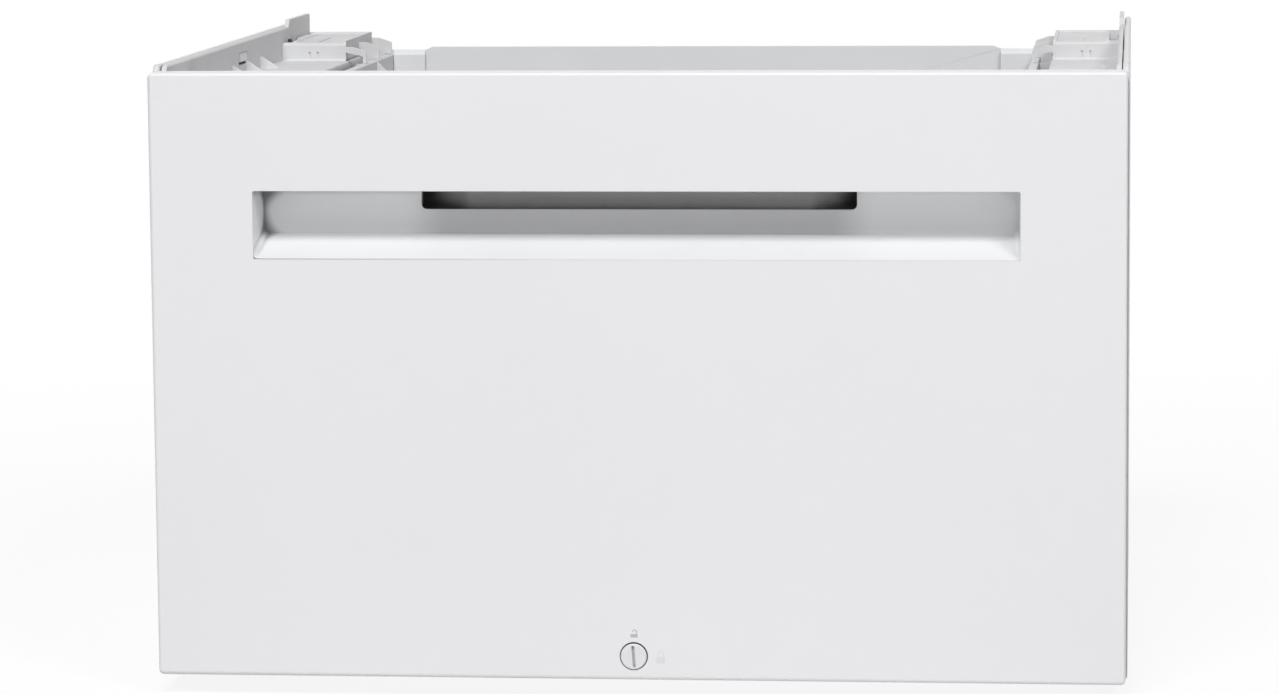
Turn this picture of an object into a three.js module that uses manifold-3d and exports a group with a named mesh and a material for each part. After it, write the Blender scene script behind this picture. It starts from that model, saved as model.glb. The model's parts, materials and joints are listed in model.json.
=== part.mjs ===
// Washer pedestal with a pull-out drawer: a steel and moulded plastic stand that a front-loading
// washer is set on, with one deep drawer on telescopic slides and a coin lock.
// Millimetres. +X to the right, +Y to the back, +Z up. The panel faces -Y and the floor is at z = 0.

import * as THREE from 'three';
import { mergeVertices } from 'three/addons/utils/BufferGeometryUtils.js';
import Module from 'manifold-3d';

const wasm = await Module();
wasm.setup();

// ---------------------------------------------------------------------------------------------
// Driving dimensions
// ---------------------------------------------------------------------------------------------

// Whole body. Depths are measured back from the face of the panel, insets in from the outer face
// of a side skin, and levels up or down from the top edge of the panel.
const bodyWidth = 598;
const bodyDepth = 550;
const panelTop = 385;
const fitGap = 0.3;

// How far a cutting piece reaches past what it cuts, and a joined piece into its neighbour
const over = 1;
const drillReach = 20;

// Drawer panel
const panelReveal = 1;
const panelHeight = 373;
const panelThickness = 20;
const panelSheet = 1.2;
const panelEdgeRadius = 2.2;
const panelCornerRadius = 3;
const panelReturn = 12;
const backingSheet = 1.2;
const backingMargin = 4;
const backingFieldDepth = 3;
const backingFieldMargin = 42;
const sheetCornerRadius = 3;

// Recessed handle
const recessWidth = 468;
const recessTop = -72.3;
const recessBottom = -114.2;
const recessDepth = 30;
const recessBackBottom = -100.6;
const recessDraft = 2;
const recessCornerRadius = 3;
const recessEdgeRadius = 1;
const recessLap = 0.2;
const recessFlare = 1;
const troughWall = 2;
const troughFlange = 8;
const troughClearance = 0.7;
const slotWidth = 268;
const slotBottom = -86;
const slotCornerRadius = 3;
const pocketRadius = 13;
const pocketWall = 1.8;
const pocketMargin = 5;
const pocketDrop = 0.5;
const pocketSideRoom = 1;

// Coin lock
const lockOffset = -2;
const lockHeight = 14.7;
const knobRadius = 8.05;
const knobGap = 0.4;
const knobProud = 1;
const knobHead = 2.4;
const knobChamfer = 0.7;
const coinSlotWidth = 1.8;
const coinSlotLength = 13.5;
const coinSlotDepth = 1.6;
const coinSlotTilt = 4;
const coinSlotCorner = 0.8;
const lockShaftRadius = 5;
const lockBodyRadius = 8;
const lockFlangeRadius = 10.5;
const lockFlangeThickness = 2.9;
const lockBodyEnd = 24.2;
const lockNutAcrossFlats = 20;
const lockNutThickness = 2;
const camThickness = 2;
const camStandOff = 0.8;
const camHubRadius = 6.6;
const camTipRadius = 4.6;
const camReach = 17;
const camScrewRadius = 2;
const camScrewHeadRadius = 3.9;
const camScrewHead = 2.2;
const camScrewTopRadius = 3.1;
const camScrewLength = 9;
const strikeThickness = 1.4;
const strikeWidth = 14;
const strikeRise = 17;
const strikeFoot = 16;
const strikeClearance = 0.7;

// Side skins
const skinSheet = 1.2;
const skinLevel = 3.4;
const skinHemWidth = 4.2;
const skinHemDrop = 10;
const skinBottomFlange = 18;
const skinRearFlange = 14;
const skinFrontGap = 0.8;
const skinCornerRadius = 10;
const sheetBend = 0.6;

// Moulded side frames
const frameFrontGap = 4;
const rimGap = 0.6;
const rimWall = 3;
const rimLevel = 2.9;
const rimChamfer = 1.2;
const shelfLevel = -19.5;
const shelfWall = 3;
const shelfEdgeInset = 55;
const channelWall = 2.5;
const channelLevel = -62;
const innerWallInset = 69;
const innerWallRim = 6;
const innerWallRimHeight = 5;
const innerWallLevel = -22;
const innerWall = 3;
const innerWallFront = 38;
const finLevel = 7.3;
const finLength = 88;
const finLead = 5;
const finCornerRadius = 3;
const finLeadRadius = 1.5;
const wallSlotDepth = 268;
const wallSlotLength = 33;
const wallSlotLevel = -4.6;
const wallSlotHeight = 8.4;
const wallSlotCorner = 2.6;
const mouldedEdge = 1;
const ribFirstDepth = 195;
const ribPitch = 51;
const ribsBefore = 1;
const ribsAfter = 3;
const ribHeight = 8.4;
const ribReach = 13;
const ribWall = 2.5;
const frontRibDepth = 126;
const frontRibHeight = 12.4;
const crossWebFirstDepth = 130;
const crossWebPitch = 118;
const crossWebCount = 4;
const crossWebWall = 2.5;
const crossWebBottom = 64;
const innerGussetDepth = 468;
const innerGussetLevel = -22.6;
const innerGussetReach = 11;
const innerGussetDrop = 24;
const channelRibDepth = 460;
const channelRibLevel = -23.8;

// Platforms that carry the washer's feet
const platformLevel = -7.3;
const platformInset = 53;
const platformWall = 2.6;
const platformRearLength = 116;
const platformFrontLength = 52;
const platformFrontSetback = 9;
const platformRim = 1.3;
const platformRimWidth = 2.4;
const platformFrontEdge = 2;
const platformRibCount = 3;
const platformRibWall = 2;
const platformRibRise = 2;
const platformMarkWidth = 1.6;
const platformMarkHeight = 5;
const platformMarkSpacing = 5.6;
const platformMarkDepth = 1;
const platformMarkDrop = 6.2;
const platformGrooveInset = 32;
const platformGrooveWidth = 1.6;
const platformGrooveDepth = 0.8;
const platformGrooveLength = 56;
const platformGrooveSetback = 47;
const clipRecessWidth = 7;
const clipRecessDepth = 1.2;
const clipRecessLength = 90;
const clipRecessSetback = 17;
const clipRailWidth = 2;
const clipRailRise = 0.6;
const clipHoleLength = 12;
const clipHoleSetback = 68;
const clipWidth = 5;
const clipLength = 38;
const clipSetback = 26;
const clipRise = 0.5;
const clipRamp = 6;
const clipSideRoom = 0.8;
const gussetLevel = -10.2;
const gussetReach = 14.5;
const gussetFlat = 5;
const gussetFall = 3.2;
const gussetBand = 3.4;
const gussetLeg = 2.4;
const gussetTongue = 12;
const gussetWall = 2.4;
const gussetCount = 3;
const gussetTipRadius = 1.5;
const gussetBrowRadius = 3;

// Back wall
const backSheet = 1.2;
const backLevel = -19;
const backRaise = 2.1;
const backRaisedInset = 92;
const backStepRun = 5;
const backBevel = 3.2;
const backReturn = 18;
const backFieldMargin = 60;
const backFieldDepth = 3;
const backFieldGap = 26;

// Base tray and rails
const skinBottomHeight = 12;
const traySheet = 1.5;
const trayFlange = 22;
const trayFieldDepth = 4;
const trayFieldCount = 3;
const trayFieldMargin = 84;
const trayFieldGap = 22;
const fieldDraft = 4;
const trayHoleClearance = 1;
const railSheet = 1.5;
const lowerRailDepth = 24;
const lowerRailWidth = 36;
const lowerRailHeight = 3.4;
const lowerRailFlange = 12;
const upperRailLevel = -26;
const upperRailHeight = 22;
const upperRailWidth = 26;
const upperRailSetback = 2;

// Telescopic slides
const slideHeight = 45.6;
const slideWidth = 12.7;
const slideCentre = 112;
const slideLength = 490;
const slideFront = 40;
const slideSheet = 1.2;
const slideBall = 2.6;
const slideLip = 2.2;
const outerLipSetback = 1.6;
const middleLipSetback = 2.2;
const cageSheet = 0.5;
const cageLength = 180;
const cageBalls = 5;
const outerCageDepth = 205;
const innerCageDepth = 165;
const slideInnerSetback = 8;
const slideMiddleShortening = 10;

// Drawer box
const boxSheet = 1.2;
const boxHeight = 150;
const boxBottom = 52;
const boxLength = 498;
const boxHem = 8;
const boxFlange = 16;
const boxFieldCount = 4;
const boxFieldMargin = 34;
const boxFieldGap = 18;
const boxFieldDepth = 3;
const bracketSheet = 1.5;
const bracketLeg = 22;
const bracketHeight = 110;
const bracketHoleRadius = 2.4;
const bracketHoleSpacing = 70;
const bracketHoleReach = 13.2;
const bumperRadius = 6;
const bumperTipRadius = 3.6;
const bumperShoulder = 1.8;
const bumperInset = 16;
const bumperDrop = 34;

// Levelling feet
const footInset = 44;
const footFrontDepth = 84;
const footRearDepth = 478;
const footPadRadius = 18;
const footPadHeight = 7;
const footPadSocket = 3;
const footPadShoulder = 2.8;
const footPadNeckRadius = 9.8;
const footChamfer = 1;
const footStudRadius = 4.9;
const footStudTop = 40;
const footCollarAcrossFlats = 15;
const footCollarHeight = 3.6;
const footNutAcrossFlats = 17;
const footNutHeight = 13;
const footNutFlangeRadius = 13;
const footNutFlangeHeight = 2;
const threadClearance = 0.4;

// Facets of round stretches
const cornerSteps = 3;
const bendSteps = 2;
const roundSegments = 24;
const smallRoundSegments = 12;
const knobSegments = 32;
const camTipSteps = 6;

// ---------------------------------------------------------------------------------------------
// Places worked out from the driving dimensions
// ---------------------------------------------------------------------------------------------

const faceY = -(bodyDepth + knobProud) / 2 + knobProud;
const behind = (depth) => faceY + depth;
const inset = (distance) => bodyWidth / 2 - distance;
const level = (height) => panelTop + height;

const panelWidth = bodyWidth - 2 * panelReveal;
const panelBottom = panelTop - panelHeight;
const skinDepth = panelThickness - backingSheet - fitGap;
const rearFlangeFront = bodyDepth - skinSheet;
const backRear = rearFlangeFront - fitGap;
const backFront = backRear - backSheet;
const frameEnd = backFront - fitGap;
const frameFront = panelThickness + frameFrontGap;
const trayBottom = skinBottomHeight + skinSheet + fitGap;
const trayTop = trayBottom + traySheet;
const frameBottom = trayTop + fitGap;
const rimOuterInset = skinHemWidth + rimGap;
const rimInnerInset = rimOuterInset + rimWall;
const channelNearInset = shelfEdgeInset + (shelfWall - channelWall) / 2;
const channelFarInset = innerWallInset - innerWallRim;
const slideOuterInset = innerWallInset + fitGap;
const slideInnerInset = slideOuterInset + slideWidth;
const boxSideInset = slideInnerInset + fitGap;
const boxFront = panelThickness + fitGap;
const boxInnerHalfWidth = inset(boxSideInset + boxSheet);

// ---------------------------------------------------------------------------------------------
// Geometry helpers
// ---------------------------------------------------------------------------------------------

const axisX = new THREE.Vector3(1, 0, 0);
const axisY = new THREE.Vector3(0, 1, 0);
const axisZ = new THREE.Vector3(0, 0, 1);

// Where the two drawing directions and the pushing direction of an extrusion point in space
const planes = {
  x: new THREE.Matrix4().makeBasis(axisY, axisZ, axisX),
  y: new THREE.Matrix4().makeBasis(axisX, axisZ, axisY.clone().negate()),
  z: new THREE.Matrix4(),
};

const leftOf = (direction) => new THREE.Vector2(-direction.y, direction.x);
const turned = (vector, angle) => vector.clone().rotateAround(new THREE.Vector2(), angle);

/** Six times the volume that a triangle spans with the origin. */
function signedVolume(position, a, b, c) {
  const first = new THREE.Vector3().fromBufferAttribute(position, a);
  const second = new THREE.Vector3().fromBufferAttribute(position, b);
  const third = new THREE.Vector3().fromBufferAttribute(position, c);
  return first.dot(second.cross(third));
}

/** Turns a closed geometry into a solid that can be cut and joined. */
function solid(geometry) {
  const bare = geometry.clone();
  bare.deleteAttribute('normal');
  bare.deleteAttribute('uv');
  const merged = mergeVertices(bare, 1e-4);
  const triangles = [];
  let volume = 0;
  for (let i = 0; i < merged.index.count; i += 3) {
    const [a, b, c] = [0, 1, 2].map((k) => merged.index.getX(i + k));
    if (a !== b && b !== c && c !== a) {
      triangles.push(a, b, c);
      volume += signedVolume(merged.attributes.position, a, b, c);
    }
  }
  if (volume < 0) {
    triangles.reverse();
  }
  return new wasm.Manifold(new wasm.Mesh({
    numProp: 3,
    vertProperties: Float32Array.from(merged.attributes.position.array),
    triVerts: Uint32Array.from(triangles),
  }));
}

/** Gives a solid back as a geometry. */
function geometryOf(shape) {
  const mesh = shape.getMesh();
  const geometry = new THREE.BufferGeometry();
  geometry.setAttribute('position', new THREE.BufferAttribute(mesh.vertProperties, 3));
  geometry.setIndex(new THREE.BufferAttribute(mesh.triVerts, 1));
  geometry.computeVertexNormals();
  return geometry;
}

/** The same geometry on the other side of the middle plane. */
function mirrored(geometry) {
  const copy = geometry.clone().scale(-1, 1, 1);
  copy.index.array.reverse();
  copy.computeVertexNormals();
  return copy;
}

const join = (...shapes) => shapes.reduce((whole, shape) => whole.add(shape));
const cut = (whole, ...shapes) => shapes.reduce((rest, shape) => rest.subtract(shape), whole);

/** Points of an outline through corners [u, v] or [u, v, radius], the latter rounded. */
function outlinePoints(corners) {
  const points = [];
  corners.forEach(([u, v, radius = 0], i) => {
    const corner = new THREE.Vector2(u, v);
    if (radius === 0) {
      points.push(corner);
      return;
    }
    const [beforeU, beforeV] = corners[(i + corners.length - 1) % corners.length];
    const [afterU, afterV] = corners[(i + 1) % corners.length];
    const into = corner.clone().sub(new THREE.Vector2(beforeU, beforeV)).normalize();
    const out = new THREE.Vector2(afterU, afterV).sub(corner).normalize();
    const turn = Math.atan2(into.cross(out), into.dot(out));
    const start = corner.clone().addScaledVector(into, -radius * Math.tan(Math.abs(turn) / 2));
    const centre = start.clone().addScaledVector(leftOf(into), Math.sign(turn) * radius);
    for (let step = 0; step <= cornerSteps; step++) {
      const spoke = turned(start.clone().sub(centre), (turn * step) / cornerSteps);
      points.push(centre.clone().add(spoke));
    }
  });
  return points;
}

/** Corners of a rectangle, all four rounded alike. */
function rectangle(u0, u1, v0, v1, radius = 0) {
  return [[u0, v0, radius], [u1, v0, radius], [u1, v1, radius], [u0, v1, radius]];
}

/** Cross-section of a sheet folded along the middle line [u, v], ... with rounded bends. */
function foldedSheet(path, thickness) {
  const points = path.map(([u, v]) => new THREE.Vector2(u, v));
  const half = thickness / 2;
  const left = [];
  const right = [];
  const addPair = (middle, normal) => {
    left.push(middle.clone().addScaledVector(normal, half));
    right.push(middle.clone().addScaledVector(normal, -half));
  };
  points.forEach((point, i) => {
    const into = i > 0 ? point.clone().sub(points[i - 1]).normalize() : null;
    const out = i < points.length - 1 ? points[i + 1].clone().sub(point).normalize() : null;
    if (!into || !out) {
      addPair(point, leftOf(into ?? out));
      return;
    }
    const turn = Math.atan2(into.cross(out), into.dot(out));
    const radius = sheetBend + half;
    const side = Math.sign(turn);
    const start = point.clone().addScaledVector(into, -radius * Math.tan(Math.abs(turn) / 2));
    const centre = start.clone().addScaledVector(leftOf(into), side * radius);
    for (let step = 0; step <= bendSteps; step++) {
      const normal = turned(leftOf(into), (turn * step) / bendSteps);
      addPair(centre.clone().addScaledVector(normal, -side * radius), normal);
    }
  });
  return [...right, ...left.reverse()];
}

/** Pushes a drawn outline along an axis, from one place on it to another. */
function push(points, axis, from, to) {
  const shape = new THREE.Shape(points);
  const geometry = new THREE.ExtrudeGeometry(shape, { depth: to - from, bevelEnabled: false });
  geometry.applyMatrix4(planes[axis]);
  const shift = { x: [from, 0, 0], y: [0, to, 0], z: [0, 0, from] }[axis];
  return solid(geometry.translate(...shift));
}

const slab = (corners, axis, from, to) => push(outlinePoints(corners), axis, from, to);
const fold = (path, thickness, axis, from, to) => push(foldedSheet(path, thickness), axis, from, to);

/** A plain block between two places on each axis. */
function block([x0, x1], [y0, y1], [z0, z1]) {
  const geometry = new THREE.BoxGeometry(x1 - x0, y1 - y0, z1 - z0);
  return solid(geometry.translate((x0 + x1) / 2, (y0 + y1) / 2, (z0 + z1) / 2));
}

/** Joins rings of points, all convex and with as many points each, into one closed skin. */
function loft(rings) {
  const count = rings[0].length;
  const index = [];
  rings.slice(1).forEach((_, k) => {
    for (let i = 0; i < count; i++) {
      const next = (i + 1) % count;
      const [a, b] = [k * count + i, k * count + next];
      index.push(a, b, b + count, a, b + count, a + count);
    }
  });
  const last = (rings.length - 1) * count;
  for (let i = 1; i < count - 1; i++) {
    index.push(0, i + 1, i, last, last + i, last + i + 1);
  }
  const geometry = new THREE.BufferGeometry();
  geometry.setAttribute('position', new THREE.Float32BufferAttribute(
    rings.flat().flatMap((point) => point.toArray()), 3));
  geometry.setIndex(index);
  return solid(geometry);
}

/** Ring of an outline drawn across X and Z at one depth. */
function ringAt(depth, corners) {
  return outlinePoints(corners).map((point) => new THREE.Vector3(point.x, behind(depth), point.y));
}

/** A solid of revolution about an upright axis, from a profile of [radius, height]. */
function spin(profile, segments = roundSegments) {
  const points = profile.map(([radius, height]) => new THREE.Vector2(radius, height));
  return solid(new THREE.LatheGeometry(points, segments).rotateX(Math.PI / 2));
}

/** A plain upright rod, or a hexagonal one with six segments. */
function rod(radius, from, to, segments = roundSegments) {
  return spin([[0, from], [radius, from], [radius, to], [0, to]], segments);
}

const acrossFlats = (size) => size / 2 / Math.cos(Math.PI / 6);

/** A rod that drills through whatever it is moved into. */
const drill = (radius, segments = roundSegments) => rod(radius, -drillReach, drillReach, segments);

/** Lays an upright solid down, so that its top points to the back. */
function laidBack(shape) {
  return solid(geometryOf(shape).rotateX(-Math.PI / 2).toNonIndexed());
}

/** Moves a solid. */
function moved(shape, x, y, z) {
  return solid(geometryOf(shape).translate(x, y, z).toNonIndexed());
}

/** A pressed field: a flat rise with sloping flanks, as outer and inner skins. */
function pressedField(rim, axis, base, rise, sheet) {
  const [u0, u1, v0, v1] = rim;
  const ring = (draft, height) => outlinePoints(rectangle(u0 + draft, u1 - draft, v0 + draft, v1 - draft))
    .map((point) => {
      const place = { y: [point.x, height, point.y], z: [point.x, point.y, height] }[axis];
      return new THREE.Vector3(...place);
    });
  const way = Math.sign(rise);
  const skin = loft([ring(0, base), ring(fieldDraft, base + rise)]);
  const top = base + rise - way * sheet;
  const start = base - way * (sheet + over);
  const slope = fieldDraft / Math.abs(rise);
  const hollow = loft([
    ring(sheet - slope * (sheet + over), start),
    ring(sheet + slope * (Math.abs(rise) - sheet), top),
  ]);
  return { skin, hollow };
}

// ---------------------------------------------------------------------------------------------
// Finishes
// ---------------------------------------------------------------------------------------------

const finishes = {
  whitePaint: { color: 0xe9eaec, roughness: 0.32, metalness: 0 },
  innerPaint: { color: 0xdfe0e2, roughness: 0.5, metalness: 0 },
  moulding: { color: 0xd2d3d5, roughness: 0.6, metalness: 0 },
  trough: { color: 0xe4e5e7, roughness: 0.42, metalness: 0 },
  darkPlastic: { color: 0x55575a, roughness: 0.65, metalness: 0 },
  zinc: { color: 0xb4b7ba, roughness: 0.38, metalness: 0.9 },
  rubber: { color: 0x2d2e30, roughness: 0.85, metalness: 0 },
};

function node(name, geometry, finish) {
  const material = new THREE.MeshStandardMaterial({ ...finishes[finish], flatShading: true });
  const mesh = new THREE.Mesh(geometry, material);
  mesh.name = name;
  return mesh;
}

/** The right-hand piece and its mirror image on the left. */
function pair(name, shape, finish) {
  const geometry = geometryOf(shape);
  return [
    node(`${name}_right`, geometry, finish),
    node(`${name}_left`, mirrored(geometry), finish),
  ];
}

// ---------------------------------------------------------------------------------------------
// Carcass
// ---------------------------------------------------------------------------------------------

/** Side view of a side skin, drawn in from its front and top edges by a distance. */
function skinOutline(drawnIn) {
  const front = behind(panelThickness + skinFrontGap) + drawnIn;
  const top = level(skinLevel) - drawnIn;
  return [
    [front, 0],
    [behind(bodyDepth), 0],
    [behind(bodyDepth), top],
    [front, top, skinCornerRadius - drawnIn],
  ];
}

/** Sheet that closes the front end of a side skin's hem. */
function hemEnd() {
  const end = block(
    [inset(skinHemWidth), inset(0)],
    [behind(panelThickness + skinFrontGap), behind(panelThickness + skinFrontGap + skinCornerRadius)],
    [level(skinLevel) - skinSheet - skinHemDrop, level(skinLevel)],
  );
  return cut(end, slab(skinOutline(skinSheet), 'x', 0, bodyWidth));
}

/** Painted side sheet: hem along the top, flange under the floor, flange behind the back wall. */
function sideSkin() {
  const outside = inset(skinSheet / 2);
  const hemX = inset(skinHemWidth - skinSheet / 2);
  const topZ = level(skinLevel) - skinSheet / 2;
  const bottomZ = skinBottomHeight + skinSheet / 2;
  const path = [
    [inset(skinBottomFlange), bottomZ],
    [outside, bottomZ],
    [outside, topZ],
    [hemX, topZ],
    [hemX, topZ - skinHemDrop],
  ];
  const sheet = fold(path, skinSheet, 'y', behind(panelThickness + skinFrontGap), behind(bodyDepth));
  const flange = block(
    [inset(skinRearFlange), outside],
    [behind(rearFlangeFront), behind(bodyDepth)],
    [skinBottomHeight + skinSheet / 2, level(shelfLevel)],
  );
  return join(sheet, flange, hemEnd()).intersect(slab(skinOutline(0), 'x', 0, bodyWidth));
}

/** Upright outer plate of a side frame, with the locating fin at its rear end. */
function framePlate() {
  const top = level(rimLevel);
  const finStart = behind(frameEnd - finLength);
  const corners = [
    [behind(frameFront), frameBottom],
    [behind(frameEnd), frameBottom],
    [behind(frameEnd), level(finLevel), finCornerRadius],
    [finStart + finLead, level(finLevel), finLeadRadius],
    [finStart, top],
    [behind(frameFront), top, skinCornerRadius],
  ];
  const plate = slab(corners, 'x', inset(rimInnerInset), inset(rimOuterInset));
  const opening = rectangle(
    behind(wallSlotDepth), behind(wallSlotDepth + wallSlotLength),
    level(wallSlotLevel - wallSlotHeight), level(wallSlotLevel), wallSlotCorner,
  );
  const chamfer = [
    [inset(rimInnerInset + over), top + over],
    [inset(rimInnerInset + over), top - rimChamfer - over],
    [inset(rimInnerInset - rimChamfer - over), top + over],
  ];
  return cut(
    plate,
    slab(opening, 'x', inset(rimInnerInset + over), inset(rimOuterInset - over)),
    slab(chamfer, 'y', behind(frameFront - over), finStart),
  );
}

/** Shelf, channel and inner wall of a side frame, one section pushed from front to back. */
function frameShelf() {
  const middle = (rimInnerInset + rimOuterInset) / 2;
  const wallMiddle = innerWallInset - innerWall / 2;
  const shelfZ = level(shelfLevel) - shelfWall / 2;
  const edge = shelfEdgeInset - channelWall / 2;
  const shelfPath = [[inset(middle), shelfZ], [inset(edge), shelfZ], [inset(edge), level(channelLevel)]];
  const floorPath = [[inset(edge), level(channelLevel)], [inset(wallMiddle), level(channelLevel)]];
  const wall = [
    [inset(innerWallInset), frameBottom],
    [inset(innerWallInset - innerWall), frameBottom],
    [inset(innerWallInset - innerWall), level(innerWallLevel - innerWallRimHeight - innerWall)],
    [inset(channelFarInset), level(innerWallLevel - innerWallRimHeight)],
    [inset(channelFarInset), level(innerWallLevel), mouldedEdge],
    [inset(innerWallInset), level(innerWallLevel), mouldedEdge],
  ];
  const [front, end] = [behind(innerWallFront), behind(frameEnd)];
  return join(
    fold(shelfPath, shelfWall, 'y', front, end),
    fold(floorPath, channelWall, 'y', front, end),
    slab(wall, 'y', front, end),
  );
}

/** Triangular rib between the outer plate and the shelf. */
function shelfRib(depth, height) {
  const foot = level(shelfLevel) - shelfWall / 2;
  const corners = [
    [inset(rimInnerInset - over), foot],
    [inset(rimInnerInset - over), level(shelfLevel) + height],
    [inset(rimInnerInset), level(shelfLevel) + height],
    [inset(rimInnerInset + ribReach), level(shelfLevel)],
    [inset(rimInnerInset + ribReach), foot],
  ];
  return slab(corners, 'y', behind(depth), behind(depth + ribWall));
}

/** Rib across the channel, between the first two gusset webs of the rear platform. */
function channelRib() {
  return block(
    [inset(innerWallInset - innerWall / 2), inset(channelNearInset - over)],
    [behind(channelRibDepth), behind(channelRibDepth + ribWall)],
    [level(channelLevel), level(channelRibLevel)],
  );
}

/** Upright web that ties the outer plate to the inner wall below the shelf. */
function crossWeb(depth) {
  const corners = [
    [inset(innerWallInset - innerWall / 2), crossWebBottom],
    [inset(rimInnerInset - over), crossWebBottom],
    [inset(rimInnerInset - over), level(shelfLevel) - shelfWall / 2],
    [inset(shelfEdgeInset - channelWall / 2), level(shelfLevel) - shelfWall / 2],
    [inset(shelfEdgeInset - channelWall / 2), level(channelLevel)],
    [inset(innerWallInset - innerWall / 2), level(channelLevel)],
  ];
  return slab(corners, 'y', behind(depth), behind(depth + crossWebWall));
}

/** Gusset on the drawer side of the inner wall. */
function innerGusset() {
  const top = level(innerGussetLevel);
  const corners = [
    [inset(innerWallInset - over), top - innerGussetDrop],
    [inset(innerWallInset - over), top],
    [inset(innerWallInset), top],
    [inset(innerWallInset + innerGussetReach), top - innerGussetReach],
    [inset(innerWallInset), top - innerGussetDrop],
  ];
  return slab(corners, 'y', behind(innerGussetDepth), behind(innerGussetDepth + ribWall));
}

/** Moulded side frame. */
function sideFrame() {
  const ribs = [];
  for (let k = -ribsBefore; k <= ribsAfter; k++) {
    ribs.push(shelfRib(ribFirstDepth + k * ribPitch, ribHeight));
  }
  const webs = Array.from(
    { length: crossWebCount },
    (_, k) => crossWeb(crossWebFirstDepth + k * crossWebPitch),
  );
  return join(
    framePlate(), frameShelf(), channelRib(), innerGusset(),
    shelfRib(frontRibDepth, frontRibHeight), ...ribs, ...webs,
  );
}

/** Web of the gusset beside a rear platform: it leans out over the frame's channel to its rim. */
function gussetWeb(depth, arched) {
  const sideInset = platformInset - platformWall / 2;
  const foot = level(innerWallLevel) + fitGap;
  const reach = platformInset + gussetReach;
  const brow = level(gussetLevel);
  const tip = brow - gussetFall;
  const top = [
    [inset(reach), foot],
    [inset(reach), tip, gussetTipRadius],
    [inset(platformInset + gussetFlat), brow, gussetBrowRadius],
    [inset(sideInset), brow],
  ];
  const arch = [
    [inset(sideInset), brow - gussetBand],
    [inset(reach - gussetLeg), tip - gussetBand, gussetTipRadius],
    [inset(reach - gussetLeg), foot],
  ];
  const shelfTop = level(shelfLevel) + fitGap;
  const tongue = [
    [inset(sideInset), shelfTop],
    [inset(channelNearInset + fitGap), shelfTop],
    [inset(channelNearInset + fitGap), shelfTop - gussetTongue],
    [inset(channelFarInset - fitGap), shelfTop - gussetTongue],
    [inset(channelFarInset - fitGap), foot],
  ];
  const corners = [...top, ...(arched ? arch : tongue)];
  return slab(corners, 'y', behind(depth), behind(depth + gussetWall));
}

/** Platform shell: a box open below, with a rim along its rear and inner edges. */
function platformShell(start, end) {
  const outerInset = rimInnerInset + fitGap;
  const foot = level(shelfLevel) + fitGap;
  const [x0, x1] = [inset(platformInset), inset(outerInset)];
  const profile = [
    [behind(start), foot],
    [behind(end), foot],
    [behind(end), level(platformLevel) + platformRim, mouldedEdge],
    [behind(end - platformRimWidth), level(platformLevel) + platformRim],
    [behind(end - platformRimWidth), level(platformLevel)],
    [behind(start), level(platformLevel), platformFrontEdge],
  ];
  const inside = [
    [behind(start + platformWall), foot - over],
    [behind(end - platformWall), foot - over],
    [behind(end - platformWall), level(platformLevel) - platformWall],
    [behind(start + platformWall), level(platformLevel) - platformWall],
  ];
  const shell = slab(profile, 'x', x0, x1);
  const hollow = slab(inside, 'x', x0 + platformWall, x1 - platformWall);
  const rim = block(
    [x0, x0 + platformRimWidth],
    [behind(start + platformFrontEdge), behind(end)],
    [level(platformLevel) - over, level(platformLevel) + platformRim],
  );
  return join(cut(shell, hollow), rim);
}

/** Cross ribs under a platform's top. */
function platformRibs(start, end, count) {
  const foot = level(shelfLevel) + fitGap;
  const pitch = (end - start) / (count + 1);
  return Array.from({ length: count }, (_, k) => block(
    [inset(platformInset - over), inset(rimInnerInset + fitGap + over)],
    [behind(start + pitch * (k + 1)), behind(start + pitch * (k + 1) + platformRibWall)],
    [foot + platformRibRise, level(platformLevel) - over],
  ));
}

/** Ramped clip in the recess beside the fin. */
function platformClip(end, x0, x1) {
  const seat = level(platformLevel) - clipRecessDepth;
  const back = behind(end - clipSetback);
  const corners = [
    [back - clipLength, seat - over],
    [back, seat - over],
    [back, level(platformLevel) + clipRise],
    [back - clipLength + clipRamp, level(platformLevel) + clipRise],
    [back - clipLength, seat],
  ];
  return slab(corners, 'x', x0, x1);
}

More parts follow.
